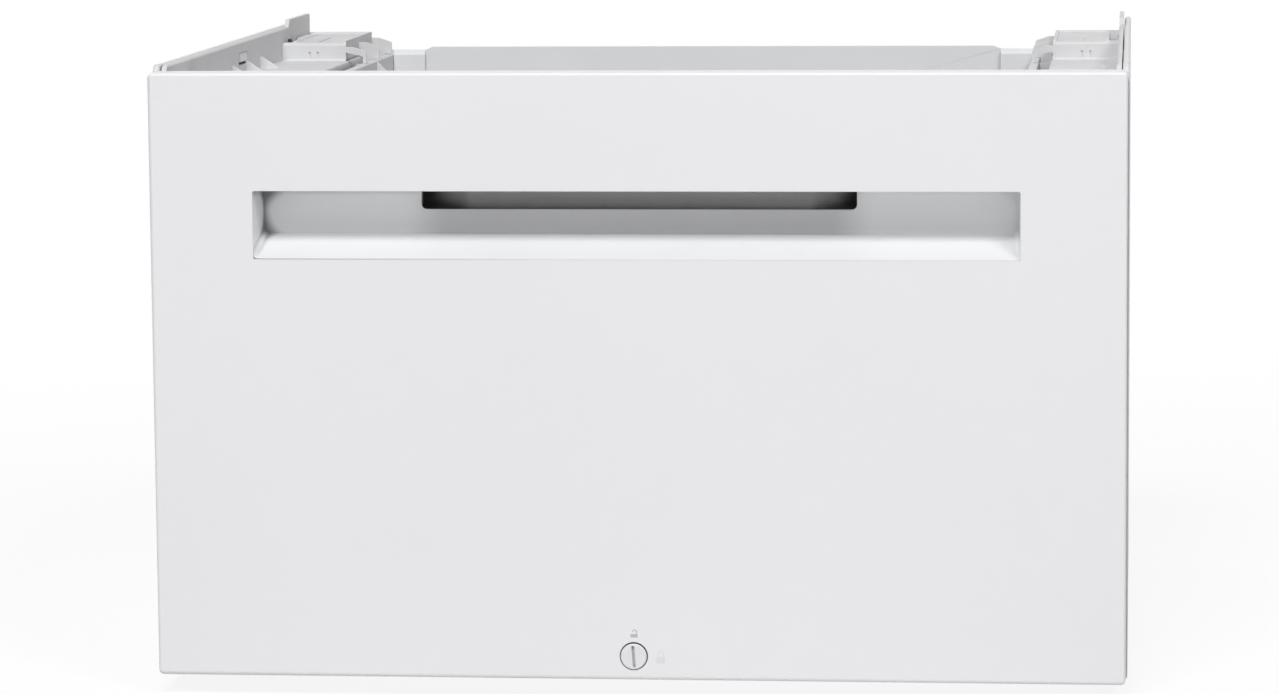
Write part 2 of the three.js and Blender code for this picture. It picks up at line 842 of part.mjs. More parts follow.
/** Rear platform: recess with a clip and a rail beside the fin, groove, two marks, gusset webs. */
function rearPlatform() {
  const end = frameEnd;
  const start = end - platformRearLength;
  const top = level(platformLevel);
  const recessX = inset(rimInnerInset + clipRecessWidth);
  const [recessNear, recessFar] = [end - clipRecessSetback - clipRecessLength, end - clipRecessSetback];
  const recess = block(
    [recessX, inset(rimInnerInset - over)],
    [behind(recessNear), behind(recessFar)],
    [top - clipRecessDepth, top + platformRim + over],
  );
  const rail = block(
    [recessX - clipRailWidth, recessX],
    [behind(recessNear), behind(recessFar)],
    [top - over, top + clipRailRise],
  );
  const hole = block(
    [recessX, inset(rimInnerInset - over)],
    [behind(end - clipHoleSetback - clipHoleLength), behind(end - clipHoleSetback)],
    [top - platformWall - over, top + over],
  );
  const grooveX = inset(platformGrooveInset);
  const groove = block(
    [grooveX - platformGrooveWidth / 2, grooveX + platformGrooveWidth / 2],
    [behind(end - platformGrooveSetback - platformGrooveLength), behind(end - platformGrooveSetback)],
    [top - platformGrooveDepth, top + over],
  );
  const middleX = inset((platformInset + rimInnerInset) / 2);
  const marks = [-1, 1].map((side) => {
    const markX = middleX + (side * platformMarkSpacing) / 2;
    return block(
      [markX - platformMarkWidth / 2, markX + platformMarkWidth / 2],
      [behind(start - over), behind(start + platformMarkDepth)],
      [top - platformMarkDrop - platformMarkHeight, top - platformMarkDrop],
    );
  });
  const webs = Array.from({ length: gussetCount }, (_, k) => gussetWeb(
    start + ((platformRearLength - gussetWall) * k) / (gussetCount - 1), k === 0,
  ));
  const ribs = platformRibs(start, end, platformRibCount);
  const shell = cut(
    join(platformShell(start, end), ...ribs, ...webs, rail), recess, hole, groove, ...marks,
  );
  const clipX = recessX + clipSideRoom;
  return join(shell, platformClip(end, clipX, clipX + clipWidth));
}

/** Front platform, shorter and hidden behind the panel. */
function frontPlatform() {
  const start = innerWallFront + platformFrontSetback;
  const end = start + platformFrontLength;
  return join(platformShell(start, end), ...platformRibs(start, end, 1));
}

/** Back wall: bevelled top edge with a raised middle, and two pressed fields. */
function backPanel() {
  const halfWidth = inset(skinSheet + fitGap);
  const top = level(backLevel);
  const raised = inset(backRaisedInset);
  const corners = [
    [-halfWidth, trayBottom],
    [halfWidth, trayBottom],
    [halfWidth, top],
    [raised, top],
    [raised - backStepRun, top + backRaise],
    [-raised + backStepRun, top + backRaise],
    [-raised, top],
    [-halfWidth, top],
  ];
  const sheet = slab(corners, 'y', behind(backFront), behind(backRear));
  const lipPath = [
    [behind(backFront - backBevel), top - backBevel - backReturn],
    [behind(backFront - backBevel), top - backBevel],
    [behind(backFront + backSheet / 2), top - backSheet / 2],
  ];
  const lips = [-1, 1].map((side) => {
    const ends = [side * raised, side * inset(innerWallInset + fitGap)].sort((a, b) => a - b);
    return fold(lipPath, backSheet, 'x', ...ends);
  });
  const fieldTop = top - backFieldMargin;
  const fieldBottom = trayTop + backFieldMargin;
  const fieldEdge = inset(innerWallInset + backFieldGap);
  const fields = [-1, 1].map((side) => {
    const [u0, u1] = side > 0 ? [backFieldGap / 2, fieldEdge] : [-fieldEdge, -backFieldGap / 2];
    return pressedField([u0, u1, fieldBottom, fieldTop], 'y', behind(backFront), -backFieldDepth, backSheet);
  });
  return cut(
    join(sheet, ...lips, ...fields.map((field) => field.skin)),
    ...fields.map((field) => field.hollow),
  );
}

/** Floor sheet of the carcass, with upturned sides, pressed fields and holes for the feet. */
function baseTray() {
  const edge = inset(skinSheet + fitGap + traySheet / 2);
  const floorZ = trayBottom + traySheet / 2;
  const flangeTop = trayTop + trayFlange;
  const path = [[-edge, flangeTop], [-edge, floorZ], [edge, floorZ], [edge, flangeTop]];
  const sheet = fold(path, traySheet, 'y', behind(frameFront), behind(frameEnd));
  const [near, far] = [-inset(trayFieldMargin), inset(trayFieldMargin)];
  const width = (far - near - trayFieldGap * (trayFieldCount - 1)) / trayFieldCount;
  const fields = Array.from({ length: trayFieldCount }, (_, k) => {
    const start = near + k * (width + trayFieldGap);
    return pressedField(
      [start, start + width, behind(frameFront + trayFieldMargin), behind(frameEnd - trayFieldMargin)],
      'z', trayTop, trayFieldDepth, traySheet,
    );
  });
  const holes = footPlaces.map(([x, y]) => moved(drill(footStudRadius + trayHoleClearance), x, y, trayTop));
  return cut(
    join(sheet, ...fields.map((field) => field.skin)),
    ...fields.map((field) => field.hollow), ...holes,
  );
}

/** Lower front rail, a shallow channel on the tray between the inner walls. */
function lowerRail() {
  const halfLength = inset(innerWallInset + fitGap);
  const [front, back] = [behind(lowerRailDepth), behind(lowerRailDepth + lowerRailWidth)];
  const topZ = frameBottom + lowerRailHeight - railSheet / 2;
  const path = [
    [front + railSheet / 2, frameBottom],
    [front + railSheet / 2, topZ],
    [back - railSheet / 2, topZ],
    [back - railSheet / 2, topZ + lowerRailFlange],
  ];
  return fold(path, railSheet, 'x', -halfLength, halfLength);
}

/** Upper front rail, a channel that ties the tops of the inner walls. */
function upperRail() {
  const halfLength = inset(innerWallInset + fitGap);
  const front = behind(innerWallFront + upperRailSetback);
  const top = level(upperRailLevel);
  const path = [
    [front + upperRailWidth, top - upperRailHeight],
    [front, top - upperRailHeight],
    [front, top],
    [front + upperRailWidth, top],
  ];
  return fold(path, railSheet, 'x', -halfLength, halfLength);
}

/** Keeper plate that the lock's cam turns behind. */
function lockStrike() {
  const plateMiddle = camStart - strikeClearance - strikeThickness / 2;
  const footZ = frameBottom + lowerRailHeight + fitGap + strikeThickness / 2;
  const path = [
    [behind(plateMiddle), footZ + strikeRise],
    [behind(plateMiddle), footZ],
    [behind(plateMiddle + strikeFoot), footZ],
  ];
  const near = lockX + acrossFlats(lockNutAcrossFlats) + strikeClearance;
  return fold(path, strikeThickness, 'x', near, near + strikeWidth);
}

// ---------------------------------------------------------------------------------------------
// Telescopic slides
// ---------------------------------------------------------------------------------------------

const cageStep = fitGap * 2 + slideBall;
const middleHeight = slideHeight - 2 * (slideSheet + cageStep);
const innerHeight = middleHeight - 2 * (slideSheet + cageStep);
const webStep = fitGap * 2 + cageSheet + slideSheet;

/** Channel with turned lips, drawn across X and Z. Its web is at webX and its lips reach to lipX. */
function slideChannel(height, webX, lipX, length, start) {
  const way = Math.sign(lipX - webX);
  const half = height / 2 - slideSheet / 2;
  const web = webX + (way * slideSheet) / 2;
  const lip = lipX - (way * slideSheet) / 2;
  const path = [
    [lip, slideCentre + half - slideLip],
    [lip, slideCentre + half],
    [web, slideCentre + half],
    [web, slideCentre - half],
    [lip, slideCentre - half],
    [lip, slideCentre - half + slideLip],
  ];
  return fold(path, slideSheet, 'y', behind(start), behind(start + length));
}

const outerLipX = inset(slideInnerInset - outerLipSetback);
const middleLipX = inset(slideInnerInset - middleLipSetback);

function slideOuter() {
  return slideChannel(slideHeight, inset(slideOuterInset), outerLipX, slideLength, slideFront);
}

function slideMiddle() {
  const webX = inset(slideOuterInset + webStep);
  return slideChannel(middleHeight, webX, middleLipX, slideLength - slideMiddleShortening, slideFront);
}

function slideInner() {
  const lipX = inset(slideOuterInset + 2 * webStep + fitGap);
  return slideChannel(
    innerHeight, inset(slideInnerInset), lipX, slideLength - slideInnerSetback, slideFront,
  );
}

/** Ball cage inside a channel: a thin folded strip with a row of balls along each arm. */
function ballCage(channelHeight, channelWebX, channelLipX, start) {
  const half = channelHeight / 2 - slideSheet - fitGap - slideBall / 2;
  const web = channelWebX - slideSheet - fitGap - cageSheet / 2;
  const arm = channelLipX + slideSheet + fitGap;
  const path = [
    [arm, slideCentre + half],
    [web, slideCentre + half],
    [web, slideCentre - half],
    [arm, slideCentre - half],
  ];
  const strip = fold(path, cageSheet, 'y', behind(start), behind(start + cageLength));
  const pitch = cageLength / cageBalls;
  const balls = [];
  for (let k = 0; k < cageBalls; k++) {
    for (const side of [-1, 1]) {
      const ball = new THREE.IcosahedronGeometry(slideBall / 2);
      ball.translate((web + arm) / 2, behind(start + pitch * (k + 0.5)), slideCentre + side * half);
      balls.push(solid(ball));
    }
  }
  return join(strip, ...balls);
}

// ---------------------------------------------------------------------------------------------
// Drawer
// ---------------------------------------------------------------------------------------------

/** Ring of the panel's outline, drawn in by a distance at one depth. */
function panelRing(drawnIn, depth) {
  const half = panelWidth / 2 - drawnIn;
  const radius = Math.max(panelCornerRadius - drawnIn, panelCornerRadius / 4);
  return ringAt(depth, rectangle(-half, half, panelBottom + drawnIn, panelTop - drawnIn, radius));
}

/** Painted front sheet: rounded edges, folded returns, mouth of the recess and hole for the knob. */
function frontSkin() {
  const edge = Array.from({ length: cornerSteps + 1 }, (_, k) => {
    const angle = (k / cornerSteps) * (Math.PI / 2);
    return panelRing(panelEdgeRadius * (1 - Math.sin(angle)), panelEdgeRadius * (1 - Math.cos(angle)));
  });
  const body = loft([...edge, panelRing(0, skinDepth)]);
  const hollow = loft([
    panelRing(2 * panelSheet, panelSheet),
    panelRing(panelSheet, 2 * panelSheet),
    panelRing(panelSheet, skinDepth - panelSheet),
  ]);
  const mouth = loft([
    panelRing(panelReturn, skinDepth - panelSheet - over),
    panelRing(panelReturn, skinDepth + over),
  ]);
  const half = recessWidth / 2;
  const recess = slab(
    rectangle(-half, half, level(recessBottom), level(recessTop), recessEdgeRadius),
    'y', behind(-over), behind(panelSheet + over),
  );
  const knobHole = moved(laidBack(drill(knobRadius + knobGap)), lockX, faceY, lockZ);
  return cut(body, hollow, mouth, recess, knobHole);
}

/** Section of the recess at a depth: the floor rises towards the back and the walls draw in. */
function recessSection(depth, grown) {
  const share = depth / recessDepth;
  const half = recessWidth / 2 + recessLap - recessDraft * share + grown;
  return {
    half,
    footHalf: half + recessFlare * (1 - share),
    floor: level(recessBottom + (recessBackBottom - recessBottom) * share - grown),
    top: level(recessTop + recessLap + grown),
  };
}

/** Ring of the recess at a depth. */
function recessRing(depth, grown) {
  const { half, footHalf, floor, top } = recessSection(depth, grown);
  return ringAt(depth, [
    [-footHalf, floor, recessCornerRadius],
    [footHalf, floor, recessCornerRadius],
    [half, top, recessEdgeRadius],
    [-half, top, recessEdgeRadius],
  ]);
}

/** Moulded handle trough: flange behind the front sheet, sloping floor, finger slot at the back. */
function handleTrough() {
  const start = panelSheet + fitGap;
  const outside = loft([recessRing(start, troughWall), recessRing(recessDepth + troughWall, troughWall)]);
  const inside = loft([recessRing(start - over, 0), recessRing(recessDepth, 0)]);
  const half = recessWidth / 2 + troughFlange;
  const flange = slab(
    rectangle(
      -half, half, level(recessBottom - troughFlange), level(recessTop + troughFlange), sheetCornerRadius,
    ),
    'y', behind(start), behind(start + troughWall),
  );
  const slot = slab(
    [
      [-slotWidth / 2, level(slotBottom), slotCornerRadius],
      [slotWidth / 2, level(slotBottom), slotCornerRadius],
      [slotWidth / 2, level(recessTop)],
      [-slotWidth / 2, level(recessTop)],
    ],
    'y', behind(recessDepth - over), behind(recessDepth + troughWall + over),
  );
  return cut(join(outside, flange), inside, slot);
}

/** Half-round pocket behind the finger slot. */
function fingerPocket() {
  const front = recessDepth + troughWall + fitGap;
  const half = slotWidth / 2 + pocketSideRoom;
  const centreLevel = slotBottom - pocketDrop + pocketRadius;
  const halfRound = (radius) => {
    const points = [new THREE.Vector2(behind(front), level(centreLevel) - radius)];
    const steps = roundSegments / 2;
    for (let k = 0; k <= steps; k++) {
      const angle = -Math.PI / 2 + (Math.PI * k) / steps;
      points.push(new THREE.Vector2(
        behind(front + pocketWall) + radius * Math.cos(angle), level(centreLevel) + radius * Math.sin(angle),
      ));
    }
    points.push(new THREE.Vector2(behind(front), level(centreLevel) + radius));
    return points;
  };
  const outer = push(halfRound(pocketRadius + pocketWall), 'x', -half - pocketWall, half + pocketWall);
  const inner = push(halfRound(pocketRadius), 'x', -half, half);
  const room = inner.subtract(block(
    [-bodyWidth, bodyWidth], [behind(0), behind(front + pocketWall)], [0, panelTop],
  ));
  const plate = slab(
    rectangle(
      -half - pocketMargin, half + pocketMargin,
      level(centreLevel - pocketRadius - pocketMargin), level(centreLevel + pocketRadius + pocketMargin),
      sheetCornerRadius,
    ),
    'y', behind(front), behind(front + pocketWall),
  );
  const mouth = slab(
    rectangle(
      -slotWidth / 2, slotWidth / 2, level(slotBottom), level(recessTop + troughWall / 2), mouldedEdge,
    ),
    'y', behind(front - over), behind(front + pocketWall + over),
  );
  return cut(join(outer, plate), room, mouth);
}

/** Inner sheet that closes the back of the panel and forms the front wall of the drawer. */
function frontBacking() {
  const [front, back] = [behind(panelThickness - backingSheet), behind(panelThickness)];
  const half = panelWidth / 2 - backingMargin;
  const [bottom, top] = [panelBottom + backingMargin, panelTop - backingMargin];
  const sheet = slab(rectangle(-half, half, bottom, top, sheetCornerRadius), 'y', front, back);
  const recess = recessSection(panelThickness - backingSheet, troughWall + troughClearance);
  const troughHole = slab(
    rectangle(-recess.footHalf, recess.footHalf, recess.floor, recess.top), 'y', front - over, back + over,
  );
  const lockHole = moved(
    laidBack(drill(lockBodyRadius + fitGap)), lockX, behind(panelThickness), lockZ,
  );
  const fields = [-1, 1].map((side) => {
    const near = backingFieldMargin / 2;
    const far = inset(boxSideInset + backingFieldMargin);
    const [u0, u1] = side > 0 ? [near, far] : [-far, -near];
    const rim = [u0, u1, boxBottom + backingFieldMargin / 2, level(recessBottom) - backingFieldMargin];
    return pressedField(rim, 'y', front, -backingFieldDepth, backingSheet);
  });
  return cut(
    join(sheet, ...fields.map((field) => field.skin)),
    ...fields.map((field) => field.hollow), troughHole, lockHole,
  );
}

/** Drawer side: hem turned outwards at the top, flange for the floor at the bottom. */
function boxSide() {
  const middle = inset(boxSideInset + boxSheet / 2);
  const path = [
    [middle - boxFlange, boxBottom + boxSheet / 2],
    [middle, boxBottom + boxSheet / 2],
    [middle, boxBottom + boxHeight],
    [middle + boxHem, boxBottom + boxHeight],
    [middle + boxHem, boxBottom + boxHeight - boxHem / 2],
  ];
  return fold(path, boxSheet, 'y', behind(boxFront), behind(boxFront + boxLength));
}

/** Drawer floor, a sheet with long pressed fields that rests on the flanges of the sides. */
function boxFloor() {
  const half = boxInnerHalfWidth - fitGap;
  const [front, back] = [behind(boxFront + fitGap), behind(boxFront + boxLength - boxSheet - fitGap)];
  const bottom = boxBottom + boxSheet + fitGap;
  const sheet = block([-half, half], [front, back], [bottom, bottom + boxSheet]);
  const span = 2 * (half - boxFieldMargin) - boxFieldGap * (boxFieldCount - 1);
  const width = span / boxFieldCount;
  const fields = Array.from({ length: boxFieldCount }, (_, k) => {
    const start = -half + boxFieldMargin + k * (width + boxFieldGap);
    const rim = [start, start + width, front + boxFieldMargin, back - boxFieldMargin];
    return pressedField(rim, 'z', bottom + boxSheet, boxFieldDepth, boxSheet);
  });
  return cut(join(sheet, ...fields.map((field) => field.skin)), ...fields.map((field) => field.hollow));
}

/** Drawer back, with a hem like that of the sides. */
function boxBack() {
  const half = boxInnerHalfWidth - fitGap;
  const middle = behind(boxFront + boxLength) - boxSheet / 2;
  const bottom = boxBottom + boxSheet + fitGap;
  const path = [
    [middle, bottom],
    [middle, boxBottom + boxHeight],
    [middle - boxHem, boxBottom + boxHeight],
    [middle - boxHem, boxBottom + boxHeight - boxHem / 2],
  ];
  return fold(path, boxSheet, 'x', -half, half);
}

/** Angle bracket that ties a drawer side to the panel's backing. */
function frontBracket() {
  const x = boxInnerHalfWidth - fitGap - bracketSheet / 2;
  const y = behind(boxFront + fitGap) + bracketSheet / 2;
  const path = [[x, y + bracketLeg], [x, y], [x - bracketLeg, y]];
  const middleZ = boxBottom + boxHeight / 2;
  const angle = fold(path, bracketSheet, 'z', middleZ - bracketHeight / 2, middleZ + bracketHeight / 2);
  const holes = [-1, 1].map((side) => moved(
    laidBack(drill(bracketHoleRadius, smallRoundSegments)),
    x - bracketHoleReach, y, middleZ + (side * bracketHoleSpacing) / 2,
  ));
  return cut(angle, ...holes);
}

/** Rubber stop between the panel's backing and a side frame. */
function bumper() {
  const length = frameFront - panelThickness - 2 * fitGap;
  const profile = [
    [0, 0],
    [bumperRadius, 0],
    [bumperRadius, bumperShoulder],
    [bumperTipRadius, length],
    [0, length],
  ];
  const seat = behind(panelThickness + fitGap);
  return moved(laidBack(spin(profile)), inset(bumperInset), seat, level(-bumperDrop));
}

// ---------------------------------------------------------------------------------------------
// Coin lock. Its pieces are drawn round their own axis, which points to the back.
// ---------------------------------------------------------------------------------------------

const lockX = lockOffset;
const lockZ = panelBottom + lockHeight;
const camStart = lockBodyEnd + camStandOff;

/** Knob with its coin slot and the shaft that carries the cam. */
function lockKnob() {
  const shaftEnd = camStart - fitGap;
  const body = spin([
    [0, -knobProud],
    [knobRadius - knobChamfer, -knobProud],
    [knobRadius, -knobProud + knobChamfer],
    [knobRadius, knobHead],
    [lockShaftRadius, knobHead],
    [lockShaftRadius, shaftEnd],
    [camScrewRadius + fitGap, shaftEnd],
    [camScrewRadius + fitGap, shaftEnd - camScrewLength],
    [0, shaftEnd - camScrewLength],
  ], knobSegments);
  const [halfWidth, halfLength] = [coinSlotWidth / 2, coinSlotLength / 2];
  const slot = slab(
    rectangle(-halfWidth, halfWidth, -halfLength, halfLength, coinSlotCorner),
    'z', -knobProud - over, -knobProud + coinSlotDepth,
  );
  const tilted = solid(geometryOf(slot).rotateZ(-THREE.MathUtils.degToRad(coinSlotTilt)).toNonIndexed());
  return laidBack(cut(body, tilted));
}

/** Threaded lock body, with a flange behind the front sheet. */
function lockBody() {
  const start = panelSheet + fitGap;
  return laidBack(spin([
    [knobRadius + knobGap, start],
    [lockFlangeRadius, start],
    [lockFlangeRadius, start + lockFlangeThickness],
    [lockBodyRadius, start + lockFlangeThickness],
    [lockBodyRadius, lockBodyEnd],
    [lockShaftRadius + fitGap, lockBodyEnd],
    [lockShaftRadius + fitGap, knobHead + fitGap],
    [knobRadius + knobGap, knobHead + fitGap],
    [knobRadius + knobGap, start],
  ]));
}

/** Hexagonal nut that clamps the lock body to the backing. */
function lockNut() {
  const start = panelThickness + fitGap;
  const body = rod(acrossFlats(lockNutAcrossFlats), start, start + lockNutThickness, 6);
  return laidBack(cut(body, moved(drill(lockBodyRadius + fitGap), 0, 0, start)));
}

/** Cam arm, pointing up while the lock is open. */
function lockCam() {
  const hub = rod(camHubRadius, camStart, camStart + camThickness);
  const points = [new THREE.Vector2(-camHubRadius, 0), new THREE.Vector2(camHubRadius, 0)];
  for (let k = 0; k <= camTipSteps; k++) {
    const angle = (Math.PI * k) / camTipSteps;
    points.push(new THREE.Vector2(camTipRadius * Math.cos(angle), camReach + camTipRadius * Math.sin(angle)));
  }
  const arm = push(points, 'z', camStart, camStart + camThickness);
  const hole = moved(drill(camScrewRadius + fitGap), 0, 0, camStart);
  return laidBack(cut(join(hub, flippedUp(arm)), hole));
}

/** Turns a flat drawing over, so that what is drawn upwards still points up once laid back. */
function flippedUp(shape) {
  return solid(geometryOf(shape).rotateZ(Math.PI).toNonIndexed());
}

/** Screw that holds the cam on the shaft. */
function camScrew() {
  const headStart = camStart + camThickness + fitGap;
  const tip = camStart - camScrewLength;
  return laidBack(spin([
    [0, tip],
    [camScrewRadius, tip],
    [camScrewRadius, headStart],
    [camScrewHeadRadius, headStart],
    [camScrewTopRadius, headStart + camScrewHead],
    [0, headStart + camScrewHead],
  ]));
}

// ---------------------------------------------------------------------------------------------
// Levelling feet. Their pieces are drawn round their own upright axis.
// ---------------------------------------------------------------------------------------------

const footX = inset(footInset);
const footNames = ['front_right', 'front_left', 'rear_right', 'rear_left'];
const footPlaces = [
  [footX, behind(footFrontDepth)],
  [-footX, behind(footFrontDepth)],
  [footX, behind(footRearDepth)],
  [-footX, behind(footRearDepth)],
];

/** Plastic pad with a socket for the stud. */
function footPad() {
  const socket = footStudRadius + fitGap;
  return spin([
    [0, 0],
    [footPadRadius - footChamfer, 0],
    [footPadRadius, footChamfer],
    [footPadRadius, footPadShoulder],
    [footPadNeckRadius, footPadHeight],
    [socket, footPadHeight],
    [socket, footPadHeight - footPadSocket],
    [0, footPadHeight - footPadSocket],
  ]);
}

/** Stud with a hexagonal collar just above the pad. */
function footStud() {
  const tip = footPadHeight - footPadSocket + fitGap;
  const collarStart = footPadHeight + fitGap;
  const stud = spin([
    [0, tip],
    [footStudRadius, tip],
    [footStudRadius, footStudTop - footChamfer],
    [footStudRadius - footChamfer, footStudTop],
    [0, footStudTop],
  ]);
  return join(stud, rod(acrossFlats(footCollarAcrossFlats), collarStart, collarStart + footCollarHeight, 6));
}

/** Threaded insert that a stud screws into, standing on the tray. */
function footNut() {
  const start = trayTop + fitGap;
  const flange = rod(footNutFlangeRadius, start, start + footNutFlangeHeight);
  const body = rod(acrossFlats(footNutAcrossFlats), start, start + footNutHeight, 6);
  return cut(join(flange, body), moved(drill(footStudRadius + threadClearance), 0, 0, start));
}

// ---------------------------------------------------------------------------------------------
// Assembly
// ---------------------------------------------------------------------------------------------

function carcass() {
  const group = new THREE.Group();
  group.add(
    ...pair('side_skin', sideSkin(), 'whitePaint'),
    ...pair('side_frame', sideFrame(), 'moulding'),
    ...pair('rear_platform', rearPlatform(), 'moulding'),
    ...pair('front_platform', frontPlatform(), 'moulding'),
    ...pair('slide_outer', slideOuter(), 'zinc'),
    node('back_panel', geometryOf(backPanel()), 'innerPaint'),
    node('base_tray', geometryOf(baseTray()), 'zinc'),
    node('lower_rail', geometryOf(lowerRail()), 'zinc'),
    node('upper_rail', geometryOf(upperRail()), 'zinc'),
    node('lock_strike', geometryOf(lockStrike()), 'zinc'),
  );
  return group;
}

function slides() {
  const group = new THREE.Group();
  const outerCage = ballCage(slideHeight, inset(slideOuterInset), outerLipX, outerCageDepth);
  const innerCage = ballCage(middleHeight, inset(slideOuterInset + webStep), middleLipX, innerCageDepth);
  group.add(
    ...pair('slide_middle', slideMiddle(), 'zinc'),
    ...pair('outer_cage', outerCage, 'zinc'),
    ...pair('inner_cage', innerCage, 'zinc'),
  );
  return group;
}

function drawer() {
  const group = new THREE.Group();
  group.add(
    node('front_skin', geometryOf(frontSkin()), 'whitePaint'),
    node('handle_trough', geometryOf(handleTrough()), 'trough'),
    node('finger_pocket', geometryOf(fingerPocket()), 'darkPlastic'),
    node('front_backing', geometryOf(frontBacking()), 'innerPaint'),
    node('drawer_floor', geometryOf(boxFloor()), 'innerPaint'),
    node('drawer_back', geometryOf(boxBack()), 'innerPaint'),
    ...pair('drawer_side', boxSide(), 'innerPaint'),
    ...pair('front_bracket', frontBracket(), 'zinc'),
    ...pair('slide_inner', slideInner(), 'zinc'),
    ...pair('bumper', bumper(), 'rubber'),
  );
  return group;
}

function lock() {
  const group = new THREE.Group();
  group.position.set(lockX, faceY, lockZ);
  group.add(
    node('lock_knob', geometryOf(lockKnob()), 'trough'),
    node('lock_body', geometryOf(lockBody()), 'zinc'),
    node('lock_nut', geometryOf(lockNut()), 'zinc'),
    node('lock_cam', geometryOf(lockCam()), 'zinc'),
    node('cam_screw', geometryOf(camScrew()), 'zinc'),
  );
  return group;
}

function foot(name, [x, y]) {
  const group = new THREE.Group();
  group.position.set(x, y, 0);
  group.add(
    node(`foot_pad_${name}`, geometryOf(footPad()), 'darkPlastic'),
    node(`foot_stud_${name}`, geometryOf(footStud()), 'zinc'),
    node(`foot_nut_${name}`, geometryOf(footNut()), 'zinc'),
  );
  return group;
}

const pedestal = new THREE.Group();
pedestal.add(carcass(), slides(), drawer(), lock());
footPlaces.forEach((place, k) => pedestal.add(foot(footNames[k], place)));

export default pedestal;
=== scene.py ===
"""Looks of the washer pedestal drawer: finishes, printed marks, small trim, floor, light and camera."""

import json
import math

import bmesh
import bpy
from mathutils import Matrix, Vector


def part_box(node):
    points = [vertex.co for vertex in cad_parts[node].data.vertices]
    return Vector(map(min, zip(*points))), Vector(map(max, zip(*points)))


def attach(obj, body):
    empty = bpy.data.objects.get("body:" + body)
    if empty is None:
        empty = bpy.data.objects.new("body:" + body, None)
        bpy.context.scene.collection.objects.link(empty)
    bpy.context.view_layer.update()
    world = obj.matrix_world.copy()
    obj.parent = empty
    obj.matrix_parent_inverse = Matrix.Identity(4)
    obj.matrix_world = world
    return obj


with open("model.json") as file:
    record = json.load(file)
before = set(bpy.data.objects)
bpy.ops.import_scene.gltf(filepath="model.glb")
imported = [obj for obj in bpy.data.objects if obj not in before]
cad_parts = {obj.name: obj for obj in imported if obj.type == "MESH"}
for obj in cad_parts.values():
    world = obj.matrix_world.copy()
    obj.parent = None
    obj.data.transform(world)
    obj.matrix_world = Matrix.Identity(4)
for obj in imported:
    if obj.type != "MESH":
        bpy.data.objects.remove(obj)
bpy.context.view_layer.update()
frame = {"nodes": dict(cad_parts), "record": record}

NODES = frame["nodes"]
RECORD = frame["record"]

# Camera: its place comes from the photograph's vanishing point, which lies at the upper right
CAMERA_PLACE = (0.3023, -3.1577, 0.5725)
CAMERA_TURN = 5.93
CAMERA_TILT = 6.975
CAMERA_ROLL = -0.47
CAMERA_LENS = 135.3
CAMERA_NEAR = 0.1
CAMERA_FAR = 200.0
SENSOR = 36.0

# Light: a weak even room, a large lamp high in front, and weaker ones at the right and at the left behind
ROOM_LEVEL = 0.16
KEY_PLACE = (-0.63, -5.1, 5.95)
KEY_SIZE = 2.5
KEY_POWER = 360.0
SIDE_PLACE = (2.7, -3.6, 4.3)
SIDE_SIZE = 1.6
SIDE_POWER = 115.0
REAR_PLACE = (-3.8, 3.6, 1.8)
REAR_SIZE = 1.6
REAR_POWER = 55.0
LAMP_TARGET = (0.0, -0.2, 0.22)

# Floor: its half side and its drop under the feet, its tone as the object is lit by it, and the share
# of plain white in what the camera sees, which rises to all of it between the near and far distance
FLOOR_HALF = 40.0
FLOOR_DROP = 0.0006
FLOOR_BOUNCE = 0.72
FLOOR_WHITE = 0.87
FLOOR_NEAR = 0.5
FLOOR_FAR = 1.6
PURE_WHITE = (1.0, 1.0, 1.0, 1.0)

# Handle recess: painted shade darkens its back below the finger slot, fully within the first span from
# the middle and not past the second, and painted light brightens the back beside it;
# painted shade in its folds is darkest at the left end and fades to its least share past the fold span
BACK_DEPTH = 0.03
BACK_BAND = (0.002, 0.0005)
SLOT_SHADE_SPAN = (0.116, 0.147)
FOLD_SHADE_SPAN = (-0.23, 0.0)
FOLD_SHADE_LEAST = 0.15

# Small roundings of the hard edges, in metres, and the angle in degrees from which an edge is hard
SHEET_EDGE = 0.00025
MOULDED_EDGE = 0.0005
EDGE_ANGLE = 32.0
EDGE_SEGMENTS = 2
WELD_REACH = 0.00001
SMOOTH_WEIGHT = 50

# Materials: rays of the edge and crevice tests, the range of the edge test, and the colour sockets
# of Blender's Mix node, which has others of the same names
EDGE_RAYS = 4
CREVICE_RAYS = 64
EDGE_RANGE = (0.86, 0.99)
MIX_FIRST = 6
MIX_SECOND = 7
MIX_RESULT = 2

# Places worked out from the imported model
SKIN_LOW, SKIN_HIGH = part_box("front_skin")
KNOB_LOW, KNOB_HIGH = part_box("lock_knob")
FACE_Y = SKIN_LOW.y
KNOB_X = (KNOB_LOW.x + KNOB_HIGH.x) / 2
KNOB_Z = (KNOB_LOW.z + KNOB_HIGH.z) / 2


# ---------------------------------------------------------------------------------------------
# Building blocks of the materials
# ---------------------------------------------------------------------------------------------


